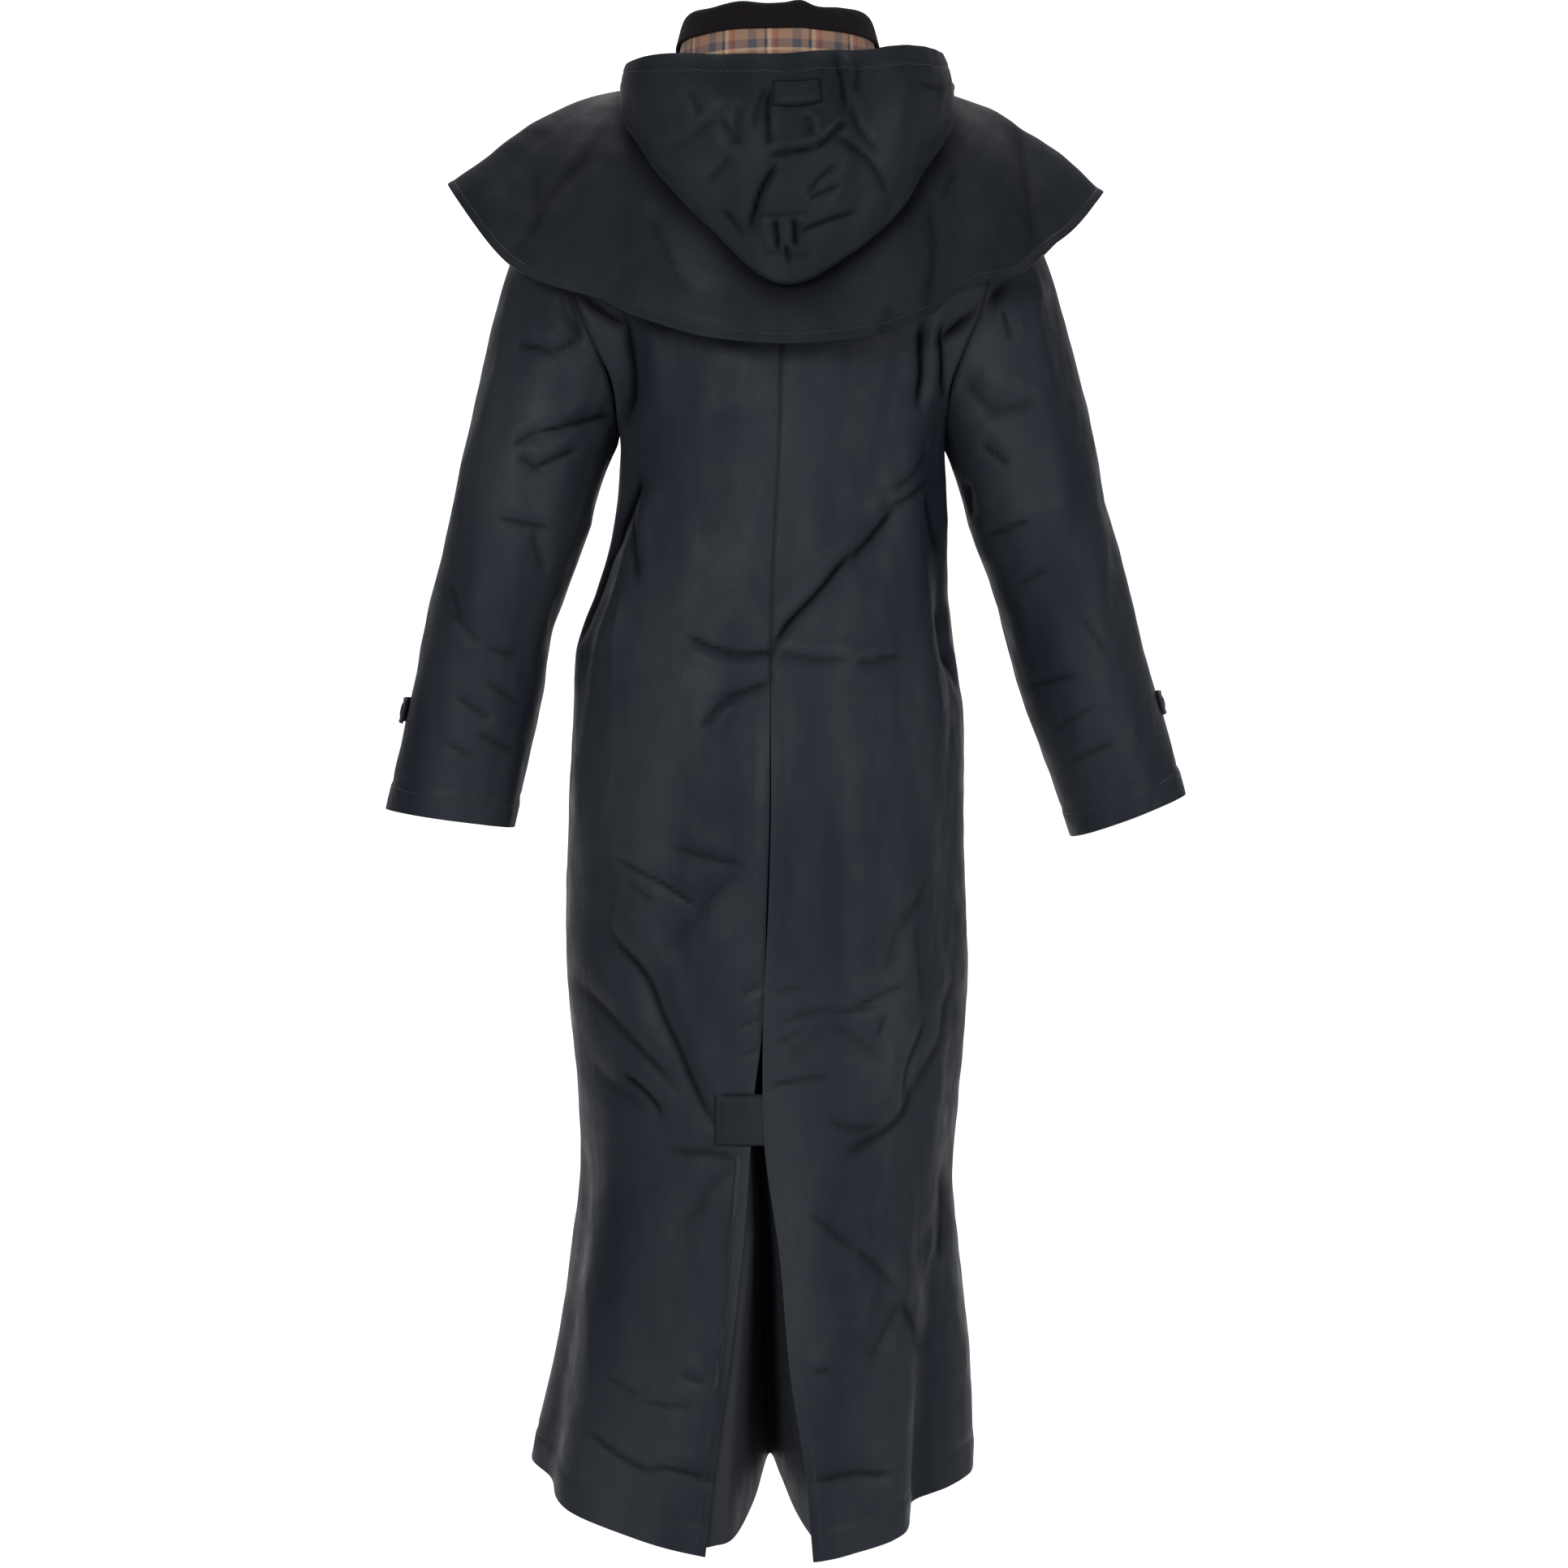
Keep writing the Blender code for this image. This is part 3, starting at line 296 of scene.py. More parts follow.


# %% [markdown]
# ## Waxed cloth, ribbed collar cloth and checked lining
# A material is a small graph of nodes. Large soft noise, stretched along the coat's height, makes
# the dark cloth bluer and greyer in streaks, an uneven tone whose light streaks also act as painted
# sheen; the fold attribute mixes in painted shade, near black and with little reflection, in the
# creases; finer noise changes its roughness, so that the sheen breaks up; a crumpled bump and a
# twill bump give it a surface. The constant values, such as sheen, are simply set on the shader.

# %% Waxed cloth, ribbed collar cloth and checked lining
class Graph:
    """A material and its nodes; each method adds a node and gives back its output."""

    def __init__(self, name, **settings):
        self.material = bpy.data.materials.new(name)
        self.material.use_nodes = True
        self.nodes = self.material.node_tree.nodes
        self.shader = self.nodes["Principled BSDF"]
        self.place = self.nodes.new("ShaderNodeTexCoord").outputs
        self.fill(self.shader, settings)

    def fill(self, node, sockets):
        """Set each named socket to its constant, or wire it to the output given for it."""
        for name, value in sockets.items():
            socket = node.inputs[name.replace("_", " ")]
            if isinstance(value, bpy.types.NodeSocket):
                self.material.node_tree.links.new(value, socket)
            else:
                socket.default_value = value

    def add(self, kind, output, choices=(), **sockets):
        """Node of a kind with its choices made and its sockets filled."""
        made = self.nodes.new(kind)
        for name, value in choices:
            setattr(made, name, value)
        self.fill(made, sockets)
        return made.outputs[output]

    def noise(self, scale, detail, stretch=None):
        """Noise of a given fineness in space, whose axes may be stretched first."""
        vector = self.place["Object"]
        if stretch:
            vector = self.add("ShaderNodeMapping", "Vector", Vector=vector, Scale=stretch)
        return self.add("ShaderNodeTexNoise", "Fac", Vector=vector, Scale=scale, Detail=detail)

    def spread(self, value, low, high, start=0.3, end=0.7):
        """Value between start and end, which hold most of a noise, spread from low to high."""
        return self.add("ShaderNodeMapRange", "Result", Value=value, From_Min=start, From_Max=end,
                        To_Min=low, To_Max=high)

    def wave(self, direction, period, profile="SIN"):
        """Bands of a period in metres; the texture itself counts 20 radians a metre, 10 on a diagonal."""
        radians_per_metre = 10.0 if direction == "DIAGONAL" else 20.0
        choices = [("bands_direction", direction), ("wave_profile", profile)]
        scale = 2.0 * math.pi / (radians_per_metre * period)
        return self.add("ShaderNodeTexWave", "Fac", choices, Vector=self.place["UV"], Scale=scale)

    def mix(self, factor, first, second):
        """First colour where the factor is 0, second where it is 1."""
        return self.add("ShaderNodeMix", "Result", [("data_type", "RGBA")], Factor=factor, A=first, B=second)

    def bump(self, height, strength, distance, **below):
        """Bump from a height, laid over an earlier bump where there is one."""
        return self.add("ShaderNodeBump", "Normal", Height=height, Strength=strength, Distance=distance,
                        **below)

    def ramp(self, factor, stops):
        """Colours laid along a factor: each stop is a place and a colour."""
        made = self.nodes.new("ShaderNodeValToRGB")
        elements = made.color_ramp.elements
        while len(elements) < len(stops):
            elements.new(0.5)
        for element, (place, colour) in zip(elements, stops):
            element.position = place
            element.color = (*colour, 1.0)
        self.fill(made, {"Fac": factor})
        return made.outputs["Color"]

    def shade(self, **sockets):
        """The finished material, with the shader's sockets wired."""
        self.fill(self.shader, sockets)
        return self.material


# Near-black colour of the painted shade in creases, seams and other shaded places.
FOLD_SHADE_COLOUR = (0.0012, 0.0013, 0.0018, 1.0)
STREAKS = (14.0, 14.0, 3.4)
CRUMPLES = (34.0, 34.0, 20.0)
TWILL = 0.0012
RIBS = 0.0026
YARNS = 0.0016


def waxed_cloth(name, dark, light, rough):
    """Dark waxed cotton: streaked colour, partly painted sheen, that darkens with painted shade in the
    folds; broken sheen, crumple and twill.
    """
    graph = Graph(name, Sheen_Weight=0.008, Sheen_Roughness=0.40, Sheen_Tint=(0.62, 0.72, 0.90, 1.0),
                  IOR=1.22)
    middle = tuple((a + b) * 0.5 for a, b in zip(dark, light))
    streaks = graph.noise(scale=1.0, detail=4.0, stretch=STREAKS)
    # Streaked colour: uneven tone of the cloth, whose lighter streaks also act as painted sheen.
    plain = graph.ramp(streaks, [(0.30, dark), (0.52, middle), (0.72, light)])
    fold = graph.add("ShaderNodeAttribute", "Fac", [("attribute_name", "fold")])
    patches = graph.noise(scale=26.0, detail=5.0)
    crumples = graph.noise(scale=1.0, detail=5.0, stretch=CRUMPLES)
    soft = graph.bump(crumples, strength=0.42, distance=0.004)
    twill = graph.bump(graph.wave("DIAGONAL", TWILL), strength=0.10, distance=0.0002, Normal=soft)
    # Painted shade: the fold attribute darkens the colour to near black and turns the reflection down.
    return graph.shade(Base_Color=graph.mix(fold, plain, FOLD_SHADE_COLOUR),
                       Specular_IOR_Level=graph.spread(fold, low=0.34, high=0.02, start=0.0, end=1.0),
                       Roughness=graph.spread(patches, *rough), Normal=twill)


def ribbed_cloth(name):
    """Matt collar cloth: fine upright ribs, with painted shade that makes it darker between them."""
    graph = Graph(name, Sheen_Weight=0.02, Sheen_Roughness=0.5, Sheen_Tint=(0.55, 0.55, 0.65, 1.0),
                  Specular_IOR_Level=0.06)
    ribs = graph.wave("X", RIBS)
    nap = graph.noise(scale=160.0, detail=3.0)
    soft = graph.bump(nap, strength=0.2, distance=0.001)
    # Painted shade: the ribs' colour runs darker in the grooves between them.
    stops = [(0.0, (0.0046, 0.0038, 0.0042)), (1.0, (0.0130, 0.0105, 0.0115))]
    return graph.shade(Base_Color=graph.ramp(ribs, stops),
                       Roughness=graph.spread(nap, low=0.80, high=0.95),
                       Normal=graph.bump(ribs, strength=0.6, distance=0.0007, Normal=soft))


BEIGE = (0.262, 0.155, 0.106)
GREY_BLUE = (0.070, 0.070, 0.085)
DARK_BLUE = (0.020, 0.024, 0.040)
CREAM = (0.470, 0.325, 0.215)
RUST = (0.260, 0.055, 0.032)
CHECK_ACROSS = [(0.0, BEIGE), (0.25, BEIGE), (0.27, GREY_BLUE), (0.45, GREY_BLUE), (0.47, BEIGE),
                (0.62, BEIGE), (0.64, DARK_BLUE), (0.69, DARK_BLUE), (0.71, CREAM), (0.78, CREAM),
                (0.80, BEIGE), (0.90, RUST), (0.94, RUST), (0.96, BEIGE)]
CHECK_DOWN = [(0.0, BEIGE), (0.30, BEIGE), (0.32, GREY_BLUE), (0.50, GREY_BLUE), (0.52, CREAM),
              (0.58, CREAM), (0.60, BEIGE), (0.76, BEIGE), (0.78, DARK_BLUE), (0.83, DARK_BLUE),
              (0.85, BEIGE), (0.96, RUST)]
CHECK_SIZE = 0.040


def checked_cloth(name):
    """Brushed check: colours banded across and down the cloth, mixed half and half like crossing yarns."""
    graph = Graph(name, Sheen_Weight=0.15, Specular_IOR_Level=0.2)
    across = graph.ramp(graph.wave("X", CHECK_SIZE, "SAW"), CHECK_ACROSS)
    down = graph.ramp(graph.wave("Y", CHECK_SIZE, "SAW"), CHECK_DOWN)
    yarns = graph.spread(graph.wave("DIAGONAL", YARNS), low=0.38, high=0.62)
    nap = graph.noise(scale=420.0, detail=3.0)
    return graph.shade(Base_Color=graph.mix(yarns, across, down),
                       Roughness=graph.spread(nap, low=0.80, high=0.98),
                       Normal=graph.bump(nap, strength=0.35, distance=0.0006))


def speckled(name, noise, dark, light, rough, bump=None, **settings):
    """Plain material whose colour, roughness and bump follow one noise of a scale and a detail."""
    graph = Graph(name, **settings)
    specks = graph.noise(*noise)
    if bump:
        graph.shade(Normal=graph.bump(specks, *bump))
    return graph.shade(Base_Color=graph.ramp(specks, [(0.3, dark), (0.7, light)]),
                       Roughness=graph.spread(specks, *rough))


navy = waxed_cloth("waxed_navy", dark=(0.0082, 0.0104, 0.0156), light=(0.0208, 0.0236, 0.0290),
                   rough=(0.44, 0.62))
# A darker copy of the waxed navy: painted shade on the cape and hood, also used on the tab and hood strap.
navy_painted_shade = waxed_cloth("waxed_navy_painted_shade", dark=(0.0058, 0.0074, 0.0110), light=(0.0150, 0.0172, 0.0212),
                         rough=(0.46, 0.64))
# A lighter copy of the waxed navy: painted light on the gusset, deep in the vent.
navy_painted_light = waxed_cloth("waxed_navy_painted_light", dark=(0.0160, 0.0176, 0.0225), light=(0.0260, 0.0280, 0.0330),
                         rough=(0.50, 0.70))
ribbed = ribbed_cloth("ribbed_collar")
checked = checked_cloth("checked_lining")
metal = speckled("stud_satin", noise=(700.0, 4.0), dark=(0.10, 0.098, 0.095), light=(0.17, 0.165, 0.16),
                 rough=(0.28, 0.46), bump=(0.15, 0.0002), Metallic=1.0)
thread = speckled("thread", noise=(900.0, 2.0), dark=(0.005, 0.0065, 0.009), light=(0.009, 0.0105, 0.014),
                  rough=(0.45, 0.70), bump=(0.3, 0.0003), Sheen_Weight=0.05)
print("materials:", [m.name for m in (navy, navy_painted_shade, navy_painted_light, ribbed, checked, metal, thread)])

# %% [markdown]
# ## The coat's body
# Below the armpits the coat is an oval at each height, a little squarer than an ellipse, with a few
# large folds that move it in or out. Above them each panel is a patch stretched between four
# curves: the ring at the armpits, the neck and shoulder seam, the centre line and the armhole.

# %% The coat's body
ARMPIT_HEIGHT = -0.335
BODY_SQUARENESS = 2.3
SHOULDER_START = 0.40
SIDE_POWER = 4
NECK_EASE = 0.0040
NECK_DROP_BACK = -0.0055
NECK_DROP_FRONT = -0.0095
HEM_BACK = -1.322
HEM_SIDE = -1.268
HEM_FRONT = -1.300
HEM_CURVE = 1.9
NECK_LEFT = 0.0920
NECK_RIGHT = 0.0865
NECK_BACK = 0.0785
NECK_FRONT = 0.0880

BODY = table("height left right back front", """
    -1.33 0.236 0.176 0.2 0.19; -1.264 0.228 0.177 0.195 0.185; -1.17 0.208 0.173 0.185 0.175;
    -1.08 0.193 0.164 0.175 0.168; -1.005 0.184 0.158 0.168 0.16; -0.93 0.187 0.163 0.163 0.155;
    -0.837 0.1965 0.172 0.162 0.152; -0.675 0.195 0.169 0.158 0.15; -0.574 0.19 0.167 0.148 0.145;
    -0.52 0.187 0.159 0.141 0.14; -0.465 0.169 0.154 0.134 0.136; -0.424 0.157 0.154 0.13 0.134;
    -0.335 0.147 0.149 0.13 0.13""")
FOLDS = table("top low turn_top turn_low move spread", """
    -0.36 -0.62 -66 -76 -0.01 9; -0.36 -0.66 70 74 -0.006 9; -0.95 -1.4 58 52 -0.03 11;
    -0.95 -1.4 37 33 0.006 9; -0.7 -1.4 -52 -50 0.007 10; -0.9 -1.4 -74 -70 -0.01 9;
    -0.8 -1.4 120 116 -0.012 12; -0.8 -1.4 -122 -118 -0.012 12""")
ARMHOLE = table("way across depth height", """
    0 0.148 0 -0.335; 45 0.156 -0.064 -0.288; 90 0.187 -0.085 -0.21; 135 0.2 -0.054 -0.125;
    180 0.2 0 -0.078; 225 0.19 0.054 -0.125; 270 0.173 0.082 -0.212; 315 0.155 0.062 -0.292;
    360 0.148 0 -0.335""")
NECK_HEIGHT = table("turn height", "0 -0.01; 45 -0.01; 90 -0.013; 135 -0.036; 180 -0.068")
SIDES = ((-1, "left"), (1, "right"))
SWELLS = table("high wide tall seed", "0.0019 0.085 0.34 1.3; 0.00036 0.03 0.042 4.1")
SWELL_DEPTH_SHARE = 0.8
FOLD_GROWTH = (0.0, 0.8)
YOKE_PULLS = {True: ((0.0, -0.004, 0.140), (0.0, -0.022, -0.055)),
              False: ((0.0, 0.004, 0.110), (0.0, 0.018, -0.060))}


def fold_move(turn, height):
    """Sum over the large folds of a bell across the turn that grows downwards or swells at mid-length."""
    total = np.zeros(np.broadcast(turn, height).shape)
    for top, low, turn_top, turn_low, move, spread in FOLDS.tolist():
        part = np.clip((top - height) / (top - low), 0.0, 1.0)
        strength = ease(part, *FOLD_GROWTH) if low < HEM_BACK else np.sin(np.pi * part) ** 2
        total = total + move * strength * bell(turn - (turn_top + (turn_low - turn_top) * part), spread)
    return total


def body_width(across, height):
    """Half width of the oval on the left or the right side."""
    return np.where(across < 0.0, smooth(BODY, "left", height), smooth(BODY, "right", height))


def body_ring(turn, height, out=0.0):
    """Point of the oval: width times the sine of the turn, and the depth left by a squared ellipse."""
    across = np.sin(np.radians(turn))
    ahead = -np.cos(np.radians(turn))
    width = body_width(across, height)
    depth = np.where(ahead < 0.0, smooth(BODY, "back", height), smooth(BODY, "front", height))
    fullness = np.maximum(1.0 - np.abs(across) ** BODY_SQUARENESS, 0.0) ** (1.0 / BODY_SQUARENESS)
    way = unit(points(across * depth, ahead * width, 0.0 * height))
    shift = np.asarray(fold_move(turn, height) + out)
    return points(width * across, depth * np.sign(ahead) * fullness, height) + way * shift[..., None]


def turn_at(across, height):
    """Turn whose sine times the width gives a distance across from the middle of the back."""
    return np.degrees(np.arcsin(np.clip(across / body_width(across, height), -1.0, 1.0)))


def skirt_heights(turn, steps):
    """Heights from hem to armpits; the hem dips at the back and the front by powers of the cosine."""
    back = np.maximum(np.cos(np.radians(turn)), 0.0) ** HEM_CURVE
    front = np.maximum(-np.cos(np.radians(turn)), 0.0) ** HEM_CURVE
    hem = HEM_SIDE + (HEM_BACK - HEM_SIDE) * back + (HEM_FRONT - HEM_SIDE) * front
    return hem + (ARMPIT_HEIGHT - hem) * steps


def neck(turn, out=0.0, up=0.0):
    """Point of the neck seam: an ellipse that falls towards the front."""
    across = np.sin(np.radians(turn))
    ahead = -np.cos(np.radians(turn))
    width = np.where(across < 0.0, NECK_LEFT, NECK_RIGHT) + out
    depth = np.where(ahead < 0.0, NECK_BACK, NECK_FRONT) + out
    return points(width * across, depth * ahead, smooth(NECK_HEIGHT, "height", np.abs(turn)) + up)


def armhole(way, side):
    """Point of the armhole seam, from the armpit round the back, over the shoulder and down the front."""
    return table_points(ARMHOLE, way) * np.array([side, 1.0, 1.0])


def upper_body(side, back, reach, rise):
    """Patch between four curves: both pairs of opposite curves blended, less the blend of the corners."""
    centre_turn = 0.0 if back else 180.0 * side
    neck_drop = NECK_DROP_BACK if back else NECK_DROP_FRONT
    level = np.array(ARMPIT_HEIGHT)
    low = body_ring(centre_turn + (90.0 * side - centre_turn) * reach, level)
    low_side = armhole(np.array(0.0), side)
    miss = low_side - body_ring(np.array(90.0 * side), level)
    low = low + miss * reach[..., None] ** SIDE_POWER
    round_neck = np.minimum(reach / SHOULDER_START, 1.0)
    neck_turn = round_neck * 90.0 * side if back else centre_turn - round_neck * 90.0 * side
    neck_edge = neck(neck_turn, NECK_EASE, neck_drop + (NECK_DROP_BACK - neck_drop) * round_neck)
    tip = armhole(np.array(180.0), side)
    along = np.clip((reach - SHOULDER_START) / (1.0 - SHOULDER_START), 0.0, 1.0)[..., None]
    high = neck_edge + (tip - neck_edge) * along
    start = body_ring(np.array(centre_turn), level)
    end = neck(np.array(centre_turn), NECK_EASE, neck_drop)
    pull_low, pull_high = YOKE_PULLS[back]
    centre = curve(start, start + np.array(pull_low), end + np.array(pull_high), end, rise)
    edge = armhole(180.0 * rise if back else 360.0 - 180.0 * rise, side)
    reach = reach[..., None]
    rise = rise[..., None]
    corners = (1 - reach) * ((1 - rise) * start + rise * end) + reach * ((1 - rise) * low_side + rise * tip)
    return (1 - rise) * low + rise * high + (1 - reach) * centre + reach * edge - corners


def join_softly(grid, row, share, times=120, spread=34):
    """Grid with the rows near one row averaged with their neighbours, by each column's share."""
    made = grid.copy()
    share = share.reshape(1, -1, 1)
    part = slice(row - spread, row + spread)
    before = slice(row - spread - 1, row + spread - 1)
    after = slice(row - spread + 1, row + spread + 1)
    for _ in range(times):
        mean = (made[before] + 2.0 * made[part] + made[after]) / 4.0
        made[part] = made[part] + (mean - made[part]) * share
    return made


def uneven(grid):
    """Low soft swellings of hanging cloth: long ones down the coat, small ones all over."""
    around = grid[..., 0] + SWELL_DEPTH_SHARE * grid[..., 1]
    return sum(high * ripple(around / wide, grid[..., 2] / tall, seed)
               for high, wide, tall, seed in SWELLS.tolist())


# %% [markdown]
# ## The two back panels
# The panels meet at the centre seam and part at the vent, where the right one lies a little proud.
# A table gives the across place of both edges. After the creases come the seams: a narrow groove
# where two panels are sewn, a faint step where the hem is turned up, and a flat, firm edge along
# the vent.
# Painted shade darkens the sewn seams and the gap at the armhole.

# %% The two back panels
VENT_TOP = -0.56
VENT_LAP = 0.0044
VENT_LAP_SPREAD = 0.035
VENT_LAP_HEIGHTS = (-0.570, -0.680)
VENT_SEWN_HEIGHTS = (VENT_TOP - 0.004, VENT_TOP + 0.004)
SEAM_DEEP = 0.0010
SEAM_WIDE = 0.0030
SEAM_RIDGE = 0.25
SEAM_RIDGE_PLACE = 0.009
SEAM_RIDGE_WIDE = 0.005
JOIN_POWER = 6
YOKE_JOIN = (0.0, 0.2)
# Painted shade at the seams and the armhole: its strength and its widths.
SEAM_PAINTED_SHADE = 0.45
SEAM_SPREAD = 0.0024
ARMHOLE_SPREAD = 0.006
ARMHOLE_FADE = 0.020
HEM_TURN, VENT_TURN, CAPE_TURN, RIM_TURN = table("start end high row dent spread", """
    0.025 0.029 0.0007 0.027 0.0008 0.003; 0.008 0.013 0.0004 0.011 0.0004 0.003;
    0.006 0.009 0.0006 0.0075 0.0006 0.002; 0.017 0.021 0.0004 0.019 0.0005 0.0026""")
VENT = table("height left right", """
    -1.33 -0.066 0.028; -1.24 -0.056 0.02; -1.169 -0.046 0.009; -1.056 -0.033 -0.0014;
    -0.964 -0.026 -0.014; -0.918 -0.0226 -0.0155; -0.886 -0.0182 -0.0154; -0.745 -0.0118 -0.01;
    -0.674 -0.0096 -0.0082; -0.6 -0.0094 -0.0085; -0.56 -0.009 -0.0086; -0.53 -0.0085 -0.0085;
    -0.4 -0.004 -0.004; -0.335 0 0""")
BACK_CREASES = table(CREASE, """
    1104 622 1046 692 3 4 10 -1; 1056 678 948 800 -4 5 10 -1; 958 797 902 801 3 3.6 8 1;
    912 801 846 783 3 3.4 8 1; 962 803 1044 811 0 2.4 7 1; 1056 821 1114 809 0 2.2 7 1;
    948 836 886 862 2 3.2 8 1; 894 858 866 896 0 2.6 8 1; 1144 556 1096 602 2 2.4 7 -1;
    1146 588 1092 626 2 2.8 7 -1; 1140 606 1158 682 0 3 9 1; 1134 392 1129 500 0 7 11 1;
    826 1044 918 1069 3 2.4 8 1; 756 1058 858 1117 3 2.6 9 1; 768 1087 803 1114 0 1.6 6 1;
    917 1068 806 1177 0 3.6 20 -1; 744 1040 756 1176 0 3 18 1; 748 1136 878 1392 9 4.8 12 1;
    704 1204 830 1340 -2 3 11 1; 726 1300 792 1372 -4 2.8 16 -1; 1142 1069 1089 1202 0 3.4 16 -1;
    1131 1130 1131 1238 0 1.5 6 0; 1136 1246 1114 1358 0 2.6 9 1; 1046 1240 1118 1216 0 2 9 1;
    970 1312 1026 1266 3 2 17 1; 1020 1266 1090 1298 3 2.2 16 1; 1177 1208 1126 1354 5 4 14 -1;
    1134 1332 1044 1426 10 4.6 13 -1; 1018 1376 1086 1390 -3 2.2 11 1; 944 1341 1022 1330 0 2.2 8 1;
    1080 1277 1095 1250 0 1.8 6 1; 764 1321 813 1376 2 3.8 8 1; 823 1411 911 1432 0 2.6 11 1;
    911 1426 826 1522 0 3 18 -1; 958 1260 1092 1240 2 1.6 6 1; 996 1498 1058 1541 0 2 9 1;
    1052 1536 1111 1587 0 2 9 1; 909 1416 878 1820 0 3 15 -1; 735 1390 720 1850 0 -1.2 8 0;
    726 1758 802 1818 -4 2.6 9 1; 794 1812 884 1821 0 2.6 8 1; 1000 1820 1102 1813 0 2.8 9 1;
    1118 1594 1074 1676 0 3.2 15 -1; 1116 1598 1130 1668 0 2.6 9 1; 1157 1446 1158 1552 0 2.6 6 1;
    1148 1512 1130 1644 0 -2.2 6 0; 838 1690 868 1702 0 1.8 6 1; 790 1726 850 1738 0 1.6 6 1;
    748 1700 786 1716 0 1.6 7 1; 1000 1690 1020 1684 0 1.6 6 1; 752 860 750 1010 0 -2 9 0;
    1150 880 1140 1210 0 -2 10 0; 782 584 748 682 2 8 12 1; 752 664 714 796 2 8 13 1;
    778 622 788 718 0 3 6 1; 768 728 750 842 0 -2 6 0; 1150 748 1162 814 0 2.6 6 1;
    1161 804 1181 858 0 2.6 6 1; 937 1212 914 1222 0 1.3 5 1; 938 1250 908 1264 0 1.4 5 1;
    936 1292 912 1300 0 1.2 5 1; 954 1226 988 1217 0 1.3 5 1; 955 1282 992 1270 0 1.3 5 1""")
ARMHOLE_CREASES = table(CREASE, """
    768 384 771 522 0 9 15 1; 690 350 772 404 -3 7 13 0; 1160 398 1163 490 0 7 11 0;
    1156 426 1248 343 0 7.5 13 0""")
BACK_CREASES = np.concatenate([BACK_CREASES, ARMHOLE_CREASES])
FRONT_CREASES = table(CREASE, """
    820 650 930 764 4 3.6 19 1; 1110 630 1010 746 -4 3.6 19 -1; 846 798 930 816 2 2.8 17 1;
    1090 788 996 814 2 2.8 17 1; 780 1050 880 1110 2 2.8 20 1; 1140 1070 1060 1180 0 3 22 -1;
    770 1250 850 1420 0 3.4 26 1; 1150 1290 1050 1430 0 3.4 24 -1; 860 1480 840 1820 0 3 22 1;
    1070 1500 1090 1820 0 3 22 -1""")
BACK_COLUMNS = 128
SKIRT_ROWS = 288
YOKE_ROWS = 72


def vent_edge(side, height):
    """Across place of the inner edge of one back panel."""
    return smooth(VENT, "left" if side < 0 else "right", height)


def vent_lap(across, height):
    """How far the right panel stands proud: a bell across the vent's edge that grows below its top."""
    return VENT_LAP * ease(height, *VENT_LAP_HEIGHTS) * bell(across - vent_edge(1, height), VENT_LAP_SPREAD)


def seam_groove(distance):
    """A sewn seam: a narrow bell-shaped groove with a low ridge where its allowance lies underneath."""
    ridge = SEAM_RIDGE * bell(distance - SEAM_RIDGE_PLACE, SEAM_RIDGE_WIDE)
    return SEAM_DEEP * (ridge - bell(distance, SEAM_WIDE))


def turned_edge(distance, edge):
    """Edge turned under: raised up to a soft step, with a bell-shaped dent at the row of stitches."""
    raised = edge["high"] * (1.0 - ease(distance, edge["start"], edge["end"]))
    return raised - edge["dent"] * bell(distance - edge["row"], edge["spread"])


def seam_normals(grid, side, skirt_rows, centre_rows, shoulder_columns):
    """Normals turned square to the centre, side and shoulder seams, so that two walls meet edge to edge."""
    normals = grid_normals(grid, side)
    normals[centre_rows, 0, 0] = 0.0
    normals[:skirt_rows, -1, 1] = 0.0
    normals[-1, shoulder_columns, 1] = 0.0
    return unit(normals)


